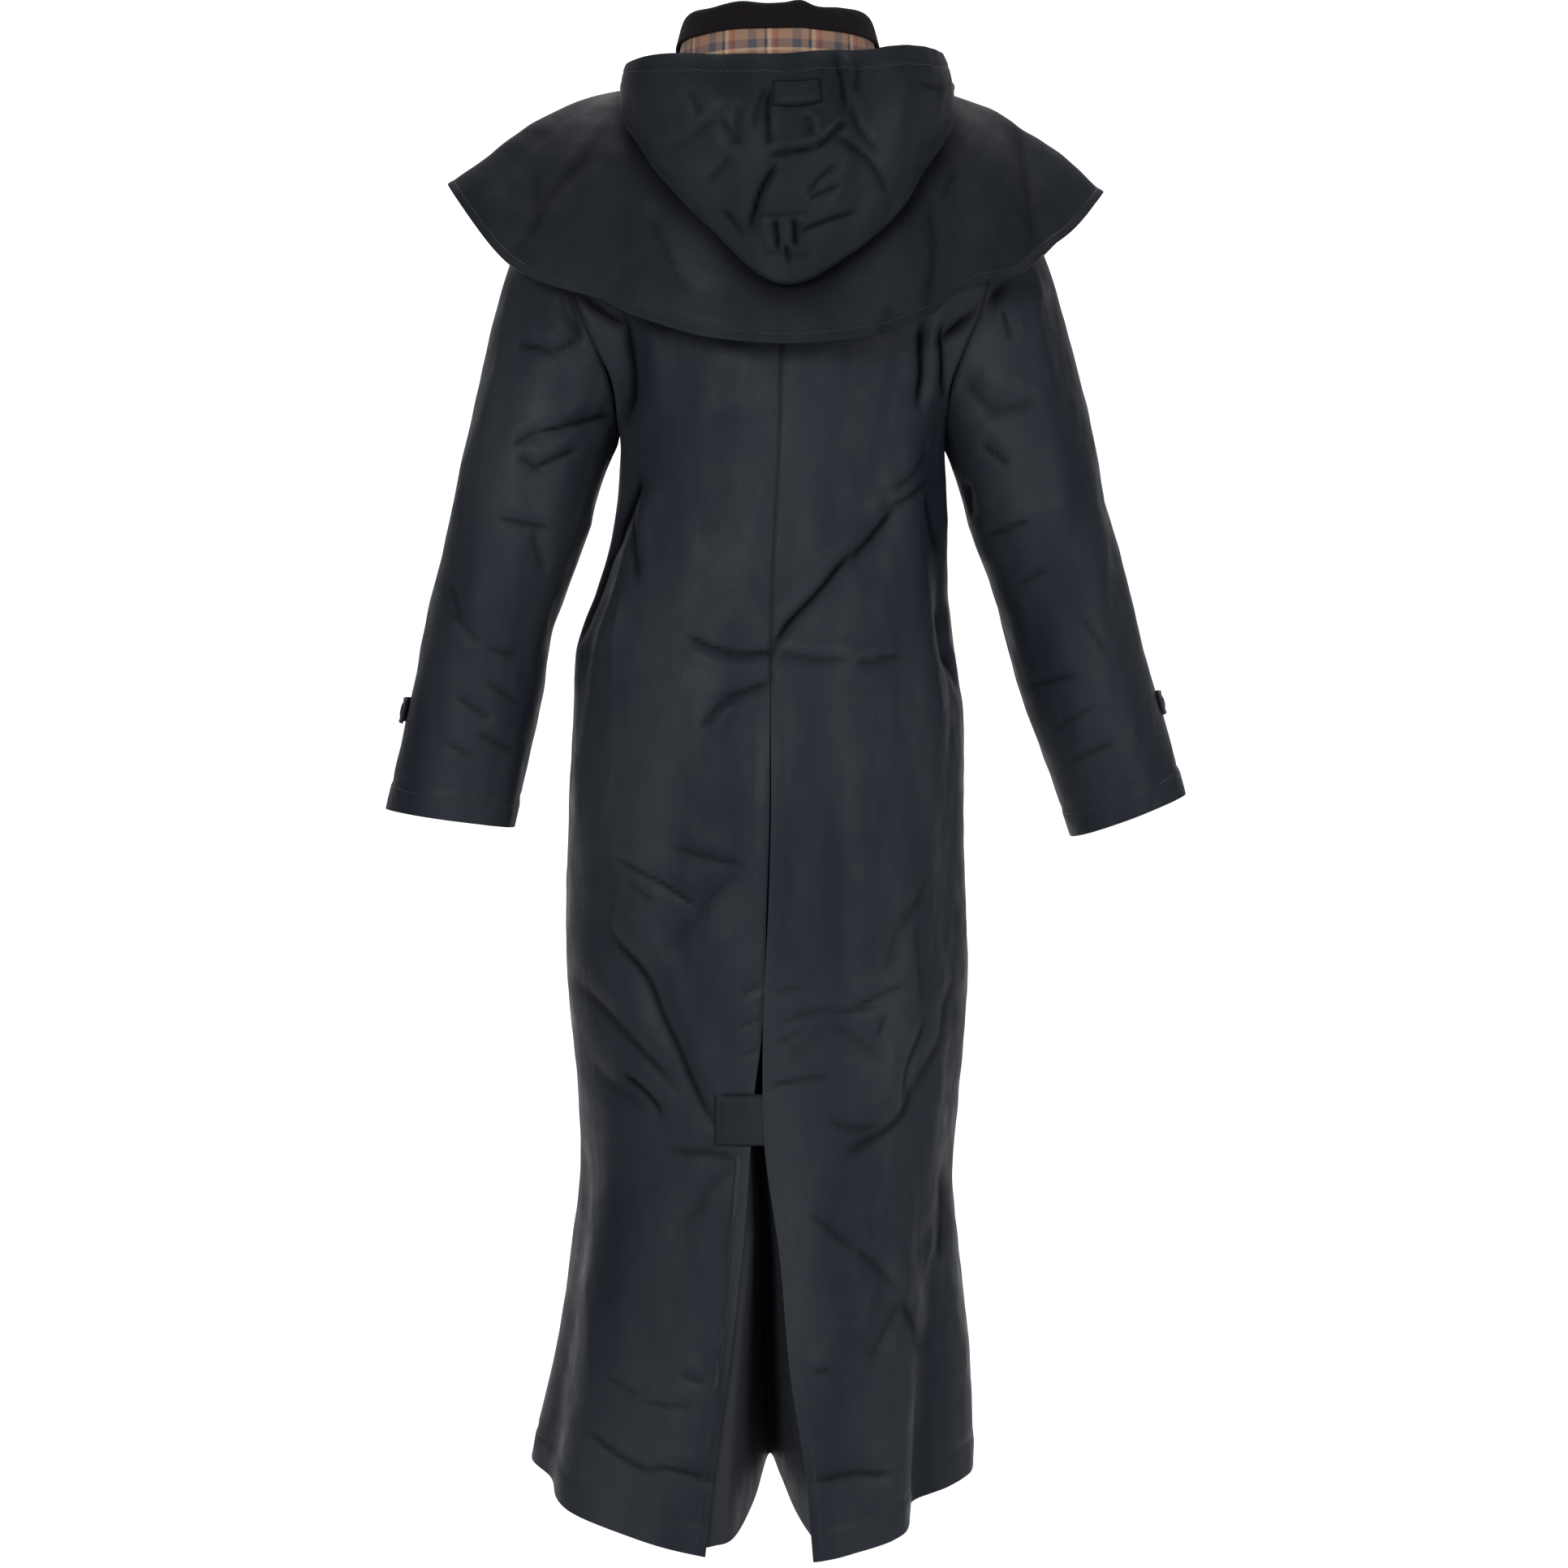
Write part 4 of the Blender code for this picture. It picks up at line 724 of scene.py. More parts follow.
def back_panel(side):
    """Grid of one back panel from hem to shoulder and from the centre to the side."""
    reach = np.linspace(0.0, 1.0, BACK_COLUMNS)[None, :]
    steps = np.linspace(0.0, 1.0, SKIRT_ROWS + 1)[:-1, None]
    rise = np.linspace(0.0, 1.0, YOKE_ROWS)[:, None]
    rough = skirt_heights(90.0 * side * reach, steps)
    inner = turn_at(vent_edge(side, rough), rough)
    turn = inner + (90.0 * side - inner) * reach
    height = skirt_heights(turn, steps)
    skirt = body_ring(turn, height)
    if side > 0:
        skirt = body_ring(turn, height, vent_lap(skirt[..., 0], height))
    yoke = upper_body(side, True, reach, rise)
    grid = join_softly(np.concatenate([skirt, yoke]), SKIRT_ROWS, 1.0 - reach ** JOIN_POWER)
    climb = np.concatenate([0.0 * steps, rise])
    corner = int(SHOULDER_START * BACK_COLUMNS)
    across = join_softly(grid.swapaxes(0, 1), corner, ease(climb, *YOKE_JOIN) * (1.0 - climb ** JOIN_POWER))
    grid = across.swapaxes(0, 1)
    normals = grid_normals(grid, side)
    from_centre = lengths(grid, 1)
    from_side = from_centre[:, -1:] - from_centre
    sewn = ease(grid[:, :1, 2], *VENT_SEWN_HEIGHTS)
    firm = turned_edge(from_centre, VENT_TURN)
    move = sewn * seam_groove(from_centre) + (1.0 - sewn) * firm + seam_groove(from_side)
    move = move + turned_edge(lengths(grid, 0), HEM_TURN) + uneven(grid)
    at_armhole = (np.arange(len(grid)) >= SKIRT_ROWS)[:, None]
    free = np.where(at_armhole, ease(from_side, 0.0, ARMHOLE_FADE), 1.0)
    grid, dark = creased(grid, normals, move, BACK_CREASES, FRONT_CREASES, free)
    # Painted shade along the sewn centre seam, the side seam and the armhole gap.
    armhole_shade = bell(from_side, np.where(at_armhole, ARMHOLE_SPREAD, SEAM_SPREAD))
    seam = sewn * bell(from_centre, SEAM_SPREAD) + armhole_shade
    dark = np.maximum(dark, SEAM_PAINTED_SHADE * np.minimum(seam, 1.0))
    normals = seam_normals(grid, side, SKIRT_ROWS, grid[:, 0, 2] > VENT_TOP, reach[0] >= SHOULDER_START)
    return grid, normals, dark


for side, word in SIDES:
    cloth_wall("back_" + word, back_panel(side), navy)

# %% [markdown]
# ## The two fronts
# The front is out of the picture's sight, so it is kept plain: two panels of the same oval, the
# left one lapped past the middle over the right one. Soft creases like those of the back keep it
# from looking like sheet metal.

# %% The two fronts
LAP_STEP = 0.0034
LAP_REACH_DEG = 18.0
FRONT_COLUMNS = 44
FRONT_SKIRT_ROWS = 180
FRONT_YOKE_ROWS = 48
FRONT_JOIN = {"times": 55, "spread": 23}
LAP_COLUMNS = 12
LAP_FADE = (LAP_COLUMNS + 3, LAP_COLUMNS + 12)


def front_panel(side):
    """Grid of one front from hem to shoulder and from its free edge to the side."""
    reach = np.linspace(0.0, 1.0, FRONT_COLUMNS)[None, :]
    steps = np.linspace(0.0, 1.0, FRONT_SKIRT_ROWS + 1)[:-1, None]
    rise = np.linspace(0.0, 1.0, FRONT_YOKE_ROWS)[:, None]
    turn = 180.0 * side - 90.0 * side * reach
    skirt = body_ring(turn, skirt_heights(turn, steps))
    yoke = upper_body(side, False, reach, rise)
    grid = np.concatenate([skirt, yoke])
    grid = join_softly(grid, FRONT_SKIRT_ROWS, 1.0 - reach ** JOIN_POWER, **FRONT_JOIN)
    if side < 0:
        past = np.linspace(LAP_REACH_DEG, 0.0, LAP_COLUMNS + 1)[None, :-1]
        lap_skirt = body_ring(180.0 - past, skirt_heights(180.0 - past, steps))
        lap_yoke = upper_body(1, False, past / 90.0, rise)
        lap = np.concatenate([lap_skirt, lap_yoke])
        lap = join_softly(lap, FRONT_SKIRT_ROWS, 0.0 * past + 1.0, **FRONT_JOIN)
        grid = np.concatenate([lap, grid], axis=1)
    normals = grid_normals(grid, -side)
    from_edge = lengths(grid, 1)
    from_side = from_edge[:, -1:] - from_edge
    move = seam_groove(from_side) + turned_edge(lengths(grid, 0), HEM_TURN) + uneven(grid)
    if side < 0:
        move = move + LAP_STEP * (1.0 - ease(np.arange(grid.shape[1]), *LAP_FADE))[None, :]
    grid, dark = creased(grid, normals, move, BACK_CREASES, FRONT_CREASES)
    shoulder = np.flatnonzero(reach[0] >= SHOULDER_START) + grid.shape[1] - FRONT_COLUMNS
    return grid, seam_normals(grid, -side, FRONT_SKIRT_ROWS, slice(0), shoulder), dark


for side, word in reversed(SIDES):
    cloth_wall("front_" + word, front_panel(side), navy)

# %% [markdown]
# ## The sleeves
# A sleeve is a tube: ovals square to the arm's line, from the cuff to the upper arm, and above them
# a head of curves that leave the armhole sideways and run into the first oval. The head starts a
# few millimetres inside the armhole, like a seam allowance. The creases gather at the elbow, where
# the cloth is pushed together.

# %% The sleeves
SLEEVE_TOP = -0.400
SLEEVE_HEAD_PULL = 0.24
SLEEVE_HEAD_OUT = {-1: 0.54, 1: 0.44}
SLEEVE_HEAD_LEAN = 0.22
SLEEVE_UNDER = 0.045
CUFF_TILT = {-1: 0.002, 1: 0.011}
CUFF_TILT_HEIGHTS = (-0.56, -0.676)
HEAD_SEAM = 1.2
METRES_A_DEGREE = 0.0011
LINE_STEP = 0.030
SLEEVE_COLUMNS = 130
HEAD_ROWS = 64
TUBE_ROWS = 92
SLEEVE_MEASURES = "height across forward half_width half_depth"
SLEEVES = {-1: table(SLEEVE_MEASURES, """
    -0.681 0.306 0.02 0.06 0.06; -0.6 0.2885 0.014 0.06 0.064; -0.563 0.2805 0.01 0.0595 0.066;
    -0.49 0.2665 0.006 0.057 0.07; -0.458 0.256 0.004 0.0585 0.072; -0.4 0.238 0 0.064 0.078"""),
           1: table(SLEEVE_MEASURES, """
    -0.678 0.323 0.02 0.0545 0.06; -0.61 0.3 0.014 0.057 0.064; -0.57 0.287 0.01 0.0585 0.066;
    -0.488 0.264 0.006 0.0605 0.07; -0.443 0.251 0.004 0.062 0.072; -0.4 0.2365 0 0.0635 0.078""")}
SLEEVE_CREASES = table(CREASE, """
    632 330 580 552 4 -2.6 12 0; 582 545 545 690 0 -2.2 12 0; 634 424 684 433 2 3.2 8 1;
    678 433 712 416 0 3 8 1; 632 548 664 528 2 3.2 8 1; 656 530 770 506 -3 4 9 1;
    636 562 664 581 0 2.8 7 1; 656 580 714 555 0 3.4 8 1; 614 634 678 653 2 2.8 8 1;
    659 655 668 706 0 2.4 8 1; 554 752 588 796 0 2.2 8 -1; 700 360 716 424 0 6 13 0;
    1188 466 1224 512 0 4 15 1; 1212 508 1276 496 -3 4 14 1; 1236 380 1244 416 0 3 8 1;
    1191 592 1200 638 0 3.4 8 1; 1211 546 1242 573 0 2.8 8 1; 1274 334 1297 475 0 -2.6 12 0;
    1216 661 1268 643 2 2.8 8 1; 1268 848 1324 831 0 2.2 8 1; 556 720 566 760 0 1.8 8 1;
    600 838 642 868 0 2 7 1; 560 858 606 886 0 1.8 7 1; 588 902 634 928 0 2 7 1;
    548 916 584 934 0 1.6 6 1; 600 800 640 806 0 1.6 6 1; 1300 900 1352 872 0 1.8 7 1;
    1316 938 1372 912 0 1.8 7 1; 1252 720 1290 704 0 1.8 7 1; 1330 760 1362 800 0 1.6 8 1""")
SLEEVE_CREASES = np.concatenate([SLEEVE_CREASES, ARMHOLE_CREASES])
SLEEVE_FRONT_CREASES = table(CREASE, """
    1300 470 1240 520 3 3.2 8 1; 1330 540 1230 560 3 3.6 9 1; 1320 600 1250 640 2 3 8 1;
    1390 760 1340 800 0 2.4 8 1; 640 480 720 520 3 3.2 8 1; 620 560 715 545 3 3.4 9 1;
    600 640 690 655 2 2.8 8 1; 560 770 610 800 0 2.4 8 1""")


def sleeve_ring(side, way, height):
    """Oval round the arm's line: its width times the cosine of the way and its depth times the sine."""
    rows = SLEEVES[side]

    def middle(level):
        return points(smooth(rows, "across", level) * side, smooth(rows, "forward", level), level)

    line = unit(middle(height - LINE_STEP) - middle(height + LINE_STEP))
    inward = unit(points(line[..., 2] * side, 0.0 * height, -line[..., 0] * side))
    back = unit(np.cross(inward, line)) * side
    angle = np.radians(way)[..., None]
    half_width = smooth(rows, "half_width", height)[..., None]
    half_depth = smooth(rows, "half_depth", height)[..., None]
    tilt = CUFF_TILT[side] * ease(height, *CUFF_TILT_HEIGHTS)[..., None] * np.cos(angle)
    ring = inward * half_width * np.cos(angle) + back * half_depth * np.sin(angle)
    return middle(height) + ring + line * tilt, line


def sleeve(side):
    """Grid of a sleeve from the armhole to the cuff, closed round the arm."""
    ways = np.linspace(0.0, 360.0, SLEEVE_COLUMNS + 1)[None, :-1]
    ring, line = sleeve_ring(side, ways, np.array([[SLEEVE_TOP]]))
    start = armhole(ways, side)
    drop = np.linalg.norm(ring - start, axis=-1, keepdims=True) * SLEEVE_HEAD_PULL
    outward = SLEEVE_HEAD_OUT[side] - SLEEVE_HEAD_LEAN * np.cos(np.radians(ways))[..., None]
    leave = unit(line + points(side, 0.0, 0.0) * outward)
    upper = np.linspace(-SLEEVE_UNDER, 1.0, HEAD_ROWS + 1)[:-1, None]
    head = curve(start, start + leave * drop, ring - line * drop, ring, upper)
    lower = np.linspace(SLEEVE_TOP, SLEEVES[side]["height"][0], TUBE_ROWS)[:, None]
    grid = np.concatenate([head, sleeve_ring(side, ways, lower)[0]])
    normals = grid_normals(grid, -side, closed=True)
    from_top = lengths(grid, 0)
    cuff = turned_edge(from_top[-1:] - from_top, HEM_TURN)
    move = HEAD_SEAM * seam_groove(from_top) + cuff + uneven(grid)
    under = np.abs((ways + 180.0) % 360.0 - 180.0) * METRES_A_DEGREE
    move = move + seam_groove(under)
    free = ease(from_top, 0.0, ARMHOLE_FADE)
    grid, dark = creased(grid, normals, move, SLEEVE_CREASES, SLEEVE_FRONT_CREASES, free)
    # Painted shade along the armhole seam round the sleeve's head.
    dark = np.maximum(dark, SEAM_PAINTED_SHADE * bell(from_top, ARMHOLE_SPREAD))
    return grid, grid_normals(grid, -side, closed=True), dark


for side, word in SIDES:
    cloth_wall("sleeve_" + word, sleeve(side), navy, closed=True)

# %% [markdown]
# ## The shoulder cape
# The cape is one surface with two measures: the turn round the neck and the fall from the neck seam
# to the hem. A table gives the hem's place at each turn, and a swelling between neck and hem rounds
# it over the shoulders.

# %% The shoulder cape
CAPE_ENDS_DEG = 172.5
CAPE_LIFT_NECK = 0.042
CAPE_LIFT_HEM = 0.012
CAPE_NECK_OUT = 0.0002
CAPE_NECK_UP = 0.0032
CAPE_COLUMNS = 236
LEVEL = np.array([1.0, 1.0, 0.0])
UP = np.array([0.0, 0.0, 1.0])
HOOD_ENDS_DEG = 112.5
HOOD_SHADE = 0.85
HOOD_SHADE_SPREAD = 0.080
CAPE_FREE = (0.02, 0.16)
CAPE_UNEVEN = 1.1
TURN_STEP_DEG = 0.5
FALL_STEP = 0.002
CAPE_ROWS = 66
CAPE_HEM = table("turn across depth height", """
    -172.5 -0.02 0.18 -0.262; -150 -0.115 0.172 -0.246; -130 -0.19 0.138 -0.205;
    -115 -0.243 0.092 -0.16; -100 -0.288 0.036 -0.116; -90 -0.3065 -0.01 -0.098;
    -78.5 -0.283 -0.046 -0.135; -67.5 -0.258 -0.075 -0.169; -60 -0.243 -0.098 -0.185;
    -52.5 -0.218 -0.12 -0.202; -45 -0.192 -0.136 -0.213; -37.5 -0.161 -0.15 -0.223;
    -30 -0.133 -0.162 -0.239; -20 -0.092 -0.17 -0.253; -10 -0.048 -0.177 -0.263; 0 -0.001 -0.179 -0.267;
    10 0.046 -0.177 -0.265; 20 0.09 -0.17 -0.256; 30 0.131 -0.16 -0.24; 37.5 0.156 -0.15 -0.219;
    45 0.185 -0.136 -0.206; 52.5 0.214 -0.12 -0.196; 60 0.235 -0.098 -0.176; 75 0.271 -0.052 -0.141;
    90 0.297 -0.01 -0.105; 100 0.279 0.036 -0.122; 115 0.235 0.092 -0.162; 130 0.185 0.138 -0.205;
    150 0.112 0.172 -0.246; 172.5 0.02 0.18 -0.262""")
HOOD = table("turn bottom across depth height swell", """
    -112.5 0.08 -0.106 0.046 -0.004 0.002; -90 0.13 -0.132 -0.016 0.004 0.002;
    -75 0.19 -0.134 -0.08 -0.01 0.002; -60 0.25 -0.135 -0.14 -0.016 0.004;
    -45 0.37 -0.115 -0.178 -0.017 0.013; -30 0.51 -0.08 -0.196 -0.019 0.022;
    -15 0.65 -0.04 -0.204 -0.021 0.028; 0 0.8 0.004 -0.206 -0.021 0.03;
    15 0.72 0.047 -0.204 -0.018 0.028; 30 0.6 0.088 -0.196 -0.013 0.023;
    45 0.46 0.124 -0.178 -0.009 0.014; 60 0.32 0.143 -0.14 -0.006 0.004;
    75 0.25 0.14 -0.08 -0.004 0.002; 90 0.17 0.133 -0.016 0.004 0.002;
    112.5 0.1 0.106 0.046 -0.004 0.002""")
CAPE_CREASES = table(CREASE, """
    738 156 622 330 0 2.6 14 1; 755 212 758 274 0 -1.6 6 0; 1254 160 1277 324 0 2.6 14 -1;
    1158 242 1177 213 0 1.6 6 1; 802 258 848 362 -5 2.4 12 1; 1153 240 1143 378 0 2.8 12 -1;
    668 214 652 300 0 1.8 12 1; 1092 372 1088 420 0 1.6 10 1""")
CAPE_FRONT_CREASES = table(CREASE, "690 190 640 320 0 2.4 13 1; 1240 190 1290 310 0 2.4 13 -1")


def cape_point(turn, fall):
    """Straight line from neck seam to hem, plus a swelling up and out that is a parabola along the fall."""
    start = neck(turn, CAPE_NECK_OUT, CAPE_NECK_UP)
    hem = table_points(CAPE_HEM, turn)
    lift = unit((hem - start) * LEVEL) + UP
    fall = np.asarray(fall)[..., None]
    swell = 4.0 * fall * (1.0 - fall) * (CAPE_LIFT_NECK + (CAPE_LIFT_HEM - CAPE_LIFT_NECK) * fall)
    return start + (hem - start) * fall + unit(lift) * swell


def cape_normals(turn, fall):
    """Outward directions of the cape from small steps along the fall and round the turn."""
    around = cape_point(turn + TURN_STEP_DEG, fall) - cape_point(turn - TURN_STEP_DEG, fall)
    along = cape_point(turn, fall + FALL_STEP) - cape_point(turn, fall - FALL_STEP)
    return unit(np.cross(along, around))


def cape():
    """Grid of the cape; its creases stay clear of the hood that lies on it."""
    fall = np.linspace(0.0, 1.0, CAPE_ROWS)[:, None]
    turn = np.linspace(-CAPE_ENDS_DEG, CAPE_ENDS_DEG, CAPE_COLUMNS)[None, :]
    grid = cape_point(turn, fall)
    normals = cape_normals(turn, fall)
    covered = np.where(np.abs(turn) < HOOD_ENDS_DEG, smooth(HOOD, "bottom", turn), 0.0)
    free = ease(fall - covered, *CAPE_FREE)
    move = free * uneven(grid) * CAPE_UNEVEN + turned_edge(lengths(grid[::-1], 0)[::-1], CAPE_TURN)
    grid, dark = creased(grid, normals, move, CAPE_CREASES, CAPE_FRONT_CREASES, free)
    # Painted shade on the cape along the hood's lower edge.
    dark = np.maximum(dark, HOOD_SHADE * bell(fall - covered, HOOD_SHADE_SPREAD) * (covered > 0.0))
    normals = grid_normals(grid, -1.0)
    normals[0] = unit(normals[0] + UP)
    return grid, normals, dark


cloth_wall("cape", cape(), navy_painted_shade)

# %% [markdown]
# ## The hood
# The hood hangs as a pouch: it rises in the collar, turns down over the cape, folds at the bottom
# and comes up again to a straight rim. Its checked lining shows between collar and rim. The gathers
# at its middle are the deepest creases of the coat.

# %% The hood
HOOD_NECK_RISE = 0.042
HOOD_NECK_LEAN = 0.0042
HOOD_NECK_OUT = 0.0006
HOOD_STAND = (1.0, 0.40)
HOOD_FALL_START = 0.05
HOOD_BEND_DEG = 140.0
HOOD_UNEVEN = 1.2
HOOD_CLEAR = 0.0020
HOOD_FOLD = 0.011
HOOD_FOLD_LEAST = 0.005
HOOD_FOLD_FALL = (0.0, 0.5)
HOOD_COLUMNS = 236
HOOD_GATHER = 1.3
STAND_ROWS = 8
FAR_ROWS = 22
FOLD_ROWS = 12
NEAR_ROWS = 108
SHOWN_ROWS = (STAND_ROWS + FAR_ROWS + 4, STAND_ROWS + FAR_ROWS + FOLD_ROWS + 8)
LINING_CLEAR = 0.0013
LINING_CLOTH = 0.0010
LINED = np.s_[0:-20:2, 10:-10:2]
HOOD_CREASES = table(CREASE, """
    952 108 940 178 0 3.6 5 -1; 949 106 926 152 0 2.2 5 -1; 954 198 922 286 -3 5 7 1;
    948 199 1006 177 2 3 5 1; 1000 180 1042 145 -2 3.4 5 1; 1000 138 1003 162 3 2.4 5 1;
    1030 70 1042 132 0 3 5 1; 1056 74 1053 112 0 2.2 5 1; 1048 126 1082 196 -4 2.8 8 0.5;
    1030 164 1096 240 3 3 8 -0.5; 886 142 910 180 0 2 8 -1; 996 246 1034 228 2 2.6 6 -1;
    890 256 914 290 2 2.2 8 1; 1160 136 1157 182 0 -1.6 8 0; 1132 100 1165 112 0 2.2 7 1;
    846 110 862 142 0 1.6 10 1; 892 132 818 193 2 2 13 1; 912 126 898 182 0 1.8 9 1;
    902 194 873 226 0 2 8 1; 1028 202 994 242 0 2.6 6 1; 984 286 1058 260 -2 3.4 6 1;
    954 268 958 312 0 4 5 -1; 976 268 982 306 0 4.2 5 1; 969 302 972 326 0 3.6 5 1;
    930 265 1000 265 0 1.8 4 0; 938 315 998 311 0 1.8 4 0""")
NO_CREASES = HOOD_CREASES[:0]


def hood_surface(turn, near_rows):
    """Grid of the hood's outer side: stand, wall along the cape, round fold, and bowed wall to the rim."""
    bottom = smooth(HOOD, "bottom", turn)
    rim = table_points(HOOD, turn)
    rise = np.linspace(*HOOD_STAND, STAND_ROWS)[:, None]
    stand = neck(turn, HOOD_NECK_OUT - HOOD_NECK_LEAN * rise ** 2, HOOD_NECK_RISE * rise)
    fall = HOOD_FALL_START + np.linspace(0.0, 1.0, FAR_ROWS)[:, None] * (bottom - HOOD_FALL_START)
    far = cape_point(turn, fall) + cape_normals(turn, fall) * HOOD_CLEAR
    down = unit(far[-1] - far[-2])
    size = np.maximum(HOOD_FOLD * ease(bottom, *HOOD_FOLD_FALL), HOOD_FOLD_LEAST).reshape(1, -1, 1)
    bend = np.radians(np.linspace(HOOD_BEND_DEG / FOLD_ROWS, HOOD_BEND_DEG, FOLD_ROWS))[:, None, None]
    fold = far[-1:] + down * size * np.sin(bend) + cape_normals(turn, bottom) * size * (1.0 - np.cos(bend))
    out = unit((rim - neck(turn)) * LEVEL)
    pull = (fold[-1:] + rim) / 2.0 + out * smooth(HOOD, "swell", turn)[..., None] * 2.0
    part = np.linspace(0.0, 1.0, near_rows + 1)[1:, None, None]
    near = (1 - part) ** 2 * fold[-1:] + 2 * part * (1 - part) * pull + part ** 2 * rim
    return np.concatenate([stand, far, fold, near])


def hood():
    """Grid of the hood with its creases and its turned rim."""
    spread = np.linspace(-1.0, 1.0, HOOD_COLUMNS)[None, :]
    turn = HOOD_ENDS_DEG * np.sign(spread) * np.abs(spread) ** HOOD_GATHER
    grid = hood_surface(turn, NEAR_ROWS)
    normals = grid_normals(grid, 1.0)
    shown = ease(np.arange(len(grid)), *SHOWN_ROWS)[:, None]
    rim = turned_edge(lengths(grid[::-1], 0)[::-1], RIM_TURN)
    move = shown * (rim + HOOD_UNEVEN * uneven(grid))
    grid, dark = creased(grid, normals, move, HOOD_CREASES, NO_CREASES, shown)
    return grid, grid_normals(grid, 1.0), dark


hood_grid, hood_out, hood_dark = hood()
cloth_wall("hood", (hood_grid, hood_out, hood_dark), navy_painted_shade)
lining_grid = hood_grid - hood_out * (CLOTH + LINING_CLEAR)
cloth_wall("hood_lining", (lining_grid[LINED], hood_out[LINED], 0.0), checked, LINING_CLOTH)

# %% [markdown]
# ## The collar
# The collar is one section carried round the neck: up as a stand, over a round fold and down as a
# short leaf. A low wave, given by a table, keeps the fold line from looking machined.

# %% The collar
COLLAR_CLOTH = 0.0020
COLLAR_ENDS_DEG = 165.0
COLLAR_COLUMNS = 140
COLLAR_ROWS = 34
WAVE_RISE = (1.0, 5.0)
WAVE_FALL = (6.5, 10.0)
WAVE_LOST = 0.8
COLLAR = table("step out up", """
    0 -0.0023 -0.01; 1 -0.003 0.012; 2 -0.0055 0.032; 3 -0.009 0.05; 4 -0.0098 0.057; 5 -0.0082 0.0615;
    6 -0.005 0.063; 7 -0.0016 0.061; 8 0.0006 0.0565; 9 0.0028 0.049; 10 0.0052 0.04""")
COLLAR_WAVE = table("turn lift", """
    -165 0; -95 0; -65 0.0036; -45 0.0024; -24 0.0044; -8 0.0014; 2 0.002; 14 0.0042; 21 0.0004;
    40 0.0012; 58 0.003; 95 0; 165 0""")


def collar():
    """Section of the collar at every turn, moved out from the neck seam and up, its fold waved."""
    step = np.linspace(0.0, COLLAR["step"][-1], COLLAR_ROWS)[:, None]
    turn = np.linspace(-COLLAR_ENDS_DEG, COLLAR_ENDS_DEG, COLLAR_COLUMNS)[None, :]
    way = unit(points(np.sin(np.radians(turn)), -np.cos(np.radians(turn)), 0.0 * turn))
    height = ease(step, *WAVE_RISE) * (1.0 - WAVE_LOST * ease(step, *WAVE_FALL))
    wave = smooth(COLLAR_WAVE, "lift", turn) * height
    grid = neck(turn) + way * smooth(COLLAR, "out", step)[..., None]
    grid[..., 2] += smooth(COLLAR, "up", step) + wave
    return grid, grid_normals(grid, -1.0), 0.0


cloth_wall("collar", collar(), ribbed, COLLAR_CLOTH)

# %% [markdown]
# ## The gusset in the vent
# A wedge of cloth fills the vent. Its pleat is a profile across the vent whose depth grows towards
# the hem, so that it closes to nothing at the vent's top.

# %% The gusset in the vent
GUSSET_CLOTH = 0.0012
GUSSET_CLEAR = 0.0008
GUSSET_TOP = -0.600
GUSSET_HEM = -1.312
GUSSET_HEM_LIFT = 0.046
GUSSET_UNDER = 0.012
GUSSET_COLUMNS = 60
GUSSET_ROWS = 130
GUSSET_LAP = (0.4, 0.7)
GUSSET_FREE = (0.02, 0.16)
PLEAT = table("height depth", """
    -1.33 0.205; -1.2 0.16; -1.06 0.1; -0.92 0.048; -0.76 0.02; -0.6 0.006""")
PLEAT_SHAPE = table("part share", """
    0 0; 0.15 0.03; 0.32 0.14; 0.46 0.52; 0.58 1; 0.66 0.78; 0.78 0.4; 0.9 0.14; 1 0""")
GUSSET_CREASES = table(CREASE, "936 1428 924 1572 0 -2 5 0; 926 1560 893 1766 -3 -2.4 5 0")


def gusset():
    """Wedge across the vent: the body's surface moved in by the pleat's shape times its depth."""
    part = np.linspace(0.0, 1.0, GUSSET_COLUMNS)[None, :]
    share = smooth(PLEAT_SHAPE, "share", part)
    hem = GUSSET_HEM + GUSSET_HEM_LIFT * share
    height = hem + (GUSSET_TOP - hem) * np.linspace(0.0, 1.0, GUSSET_ROWS)[:, None]
    left = vent_edge(-1, height) - GUSSET_UNDER
    right = vent_edge(1, height) + GUSSET_UNDER
    across = left + (right - left) * part
    lap = vent_lap(across, height) * ease(part, *GUSSET_LAP)
    grid = body_ring(turn_at(across, height), height, lap - CLOTH - GUSSET_CLEAR)
    grid[..., 1] += smooth(PLEAT, "depth", height) * share
    inside = ease(share, *GUSSET_FREE)
    grid = creased(grid, grid_normals(grid, 1.0), 0.0 * inside, GUSSET_CREASES, NO_CREASES, inside)[0]
    return grid, grid_normals(grid, 1.0), 0.0


cloth_wall("vent_gusset", gusset(), navy_painted_light, GUSSET_CLOTH)

# %% [markdown]
# ## Tab, straps and studs
# These small pieces are patches of a surface that is already there, lifted by a hair: the tab lies
# on the back, the adjuster strap on the hood, and a strap on each cuff with its loop standing out.
# The studs stay as the CAD made them and only get a material.

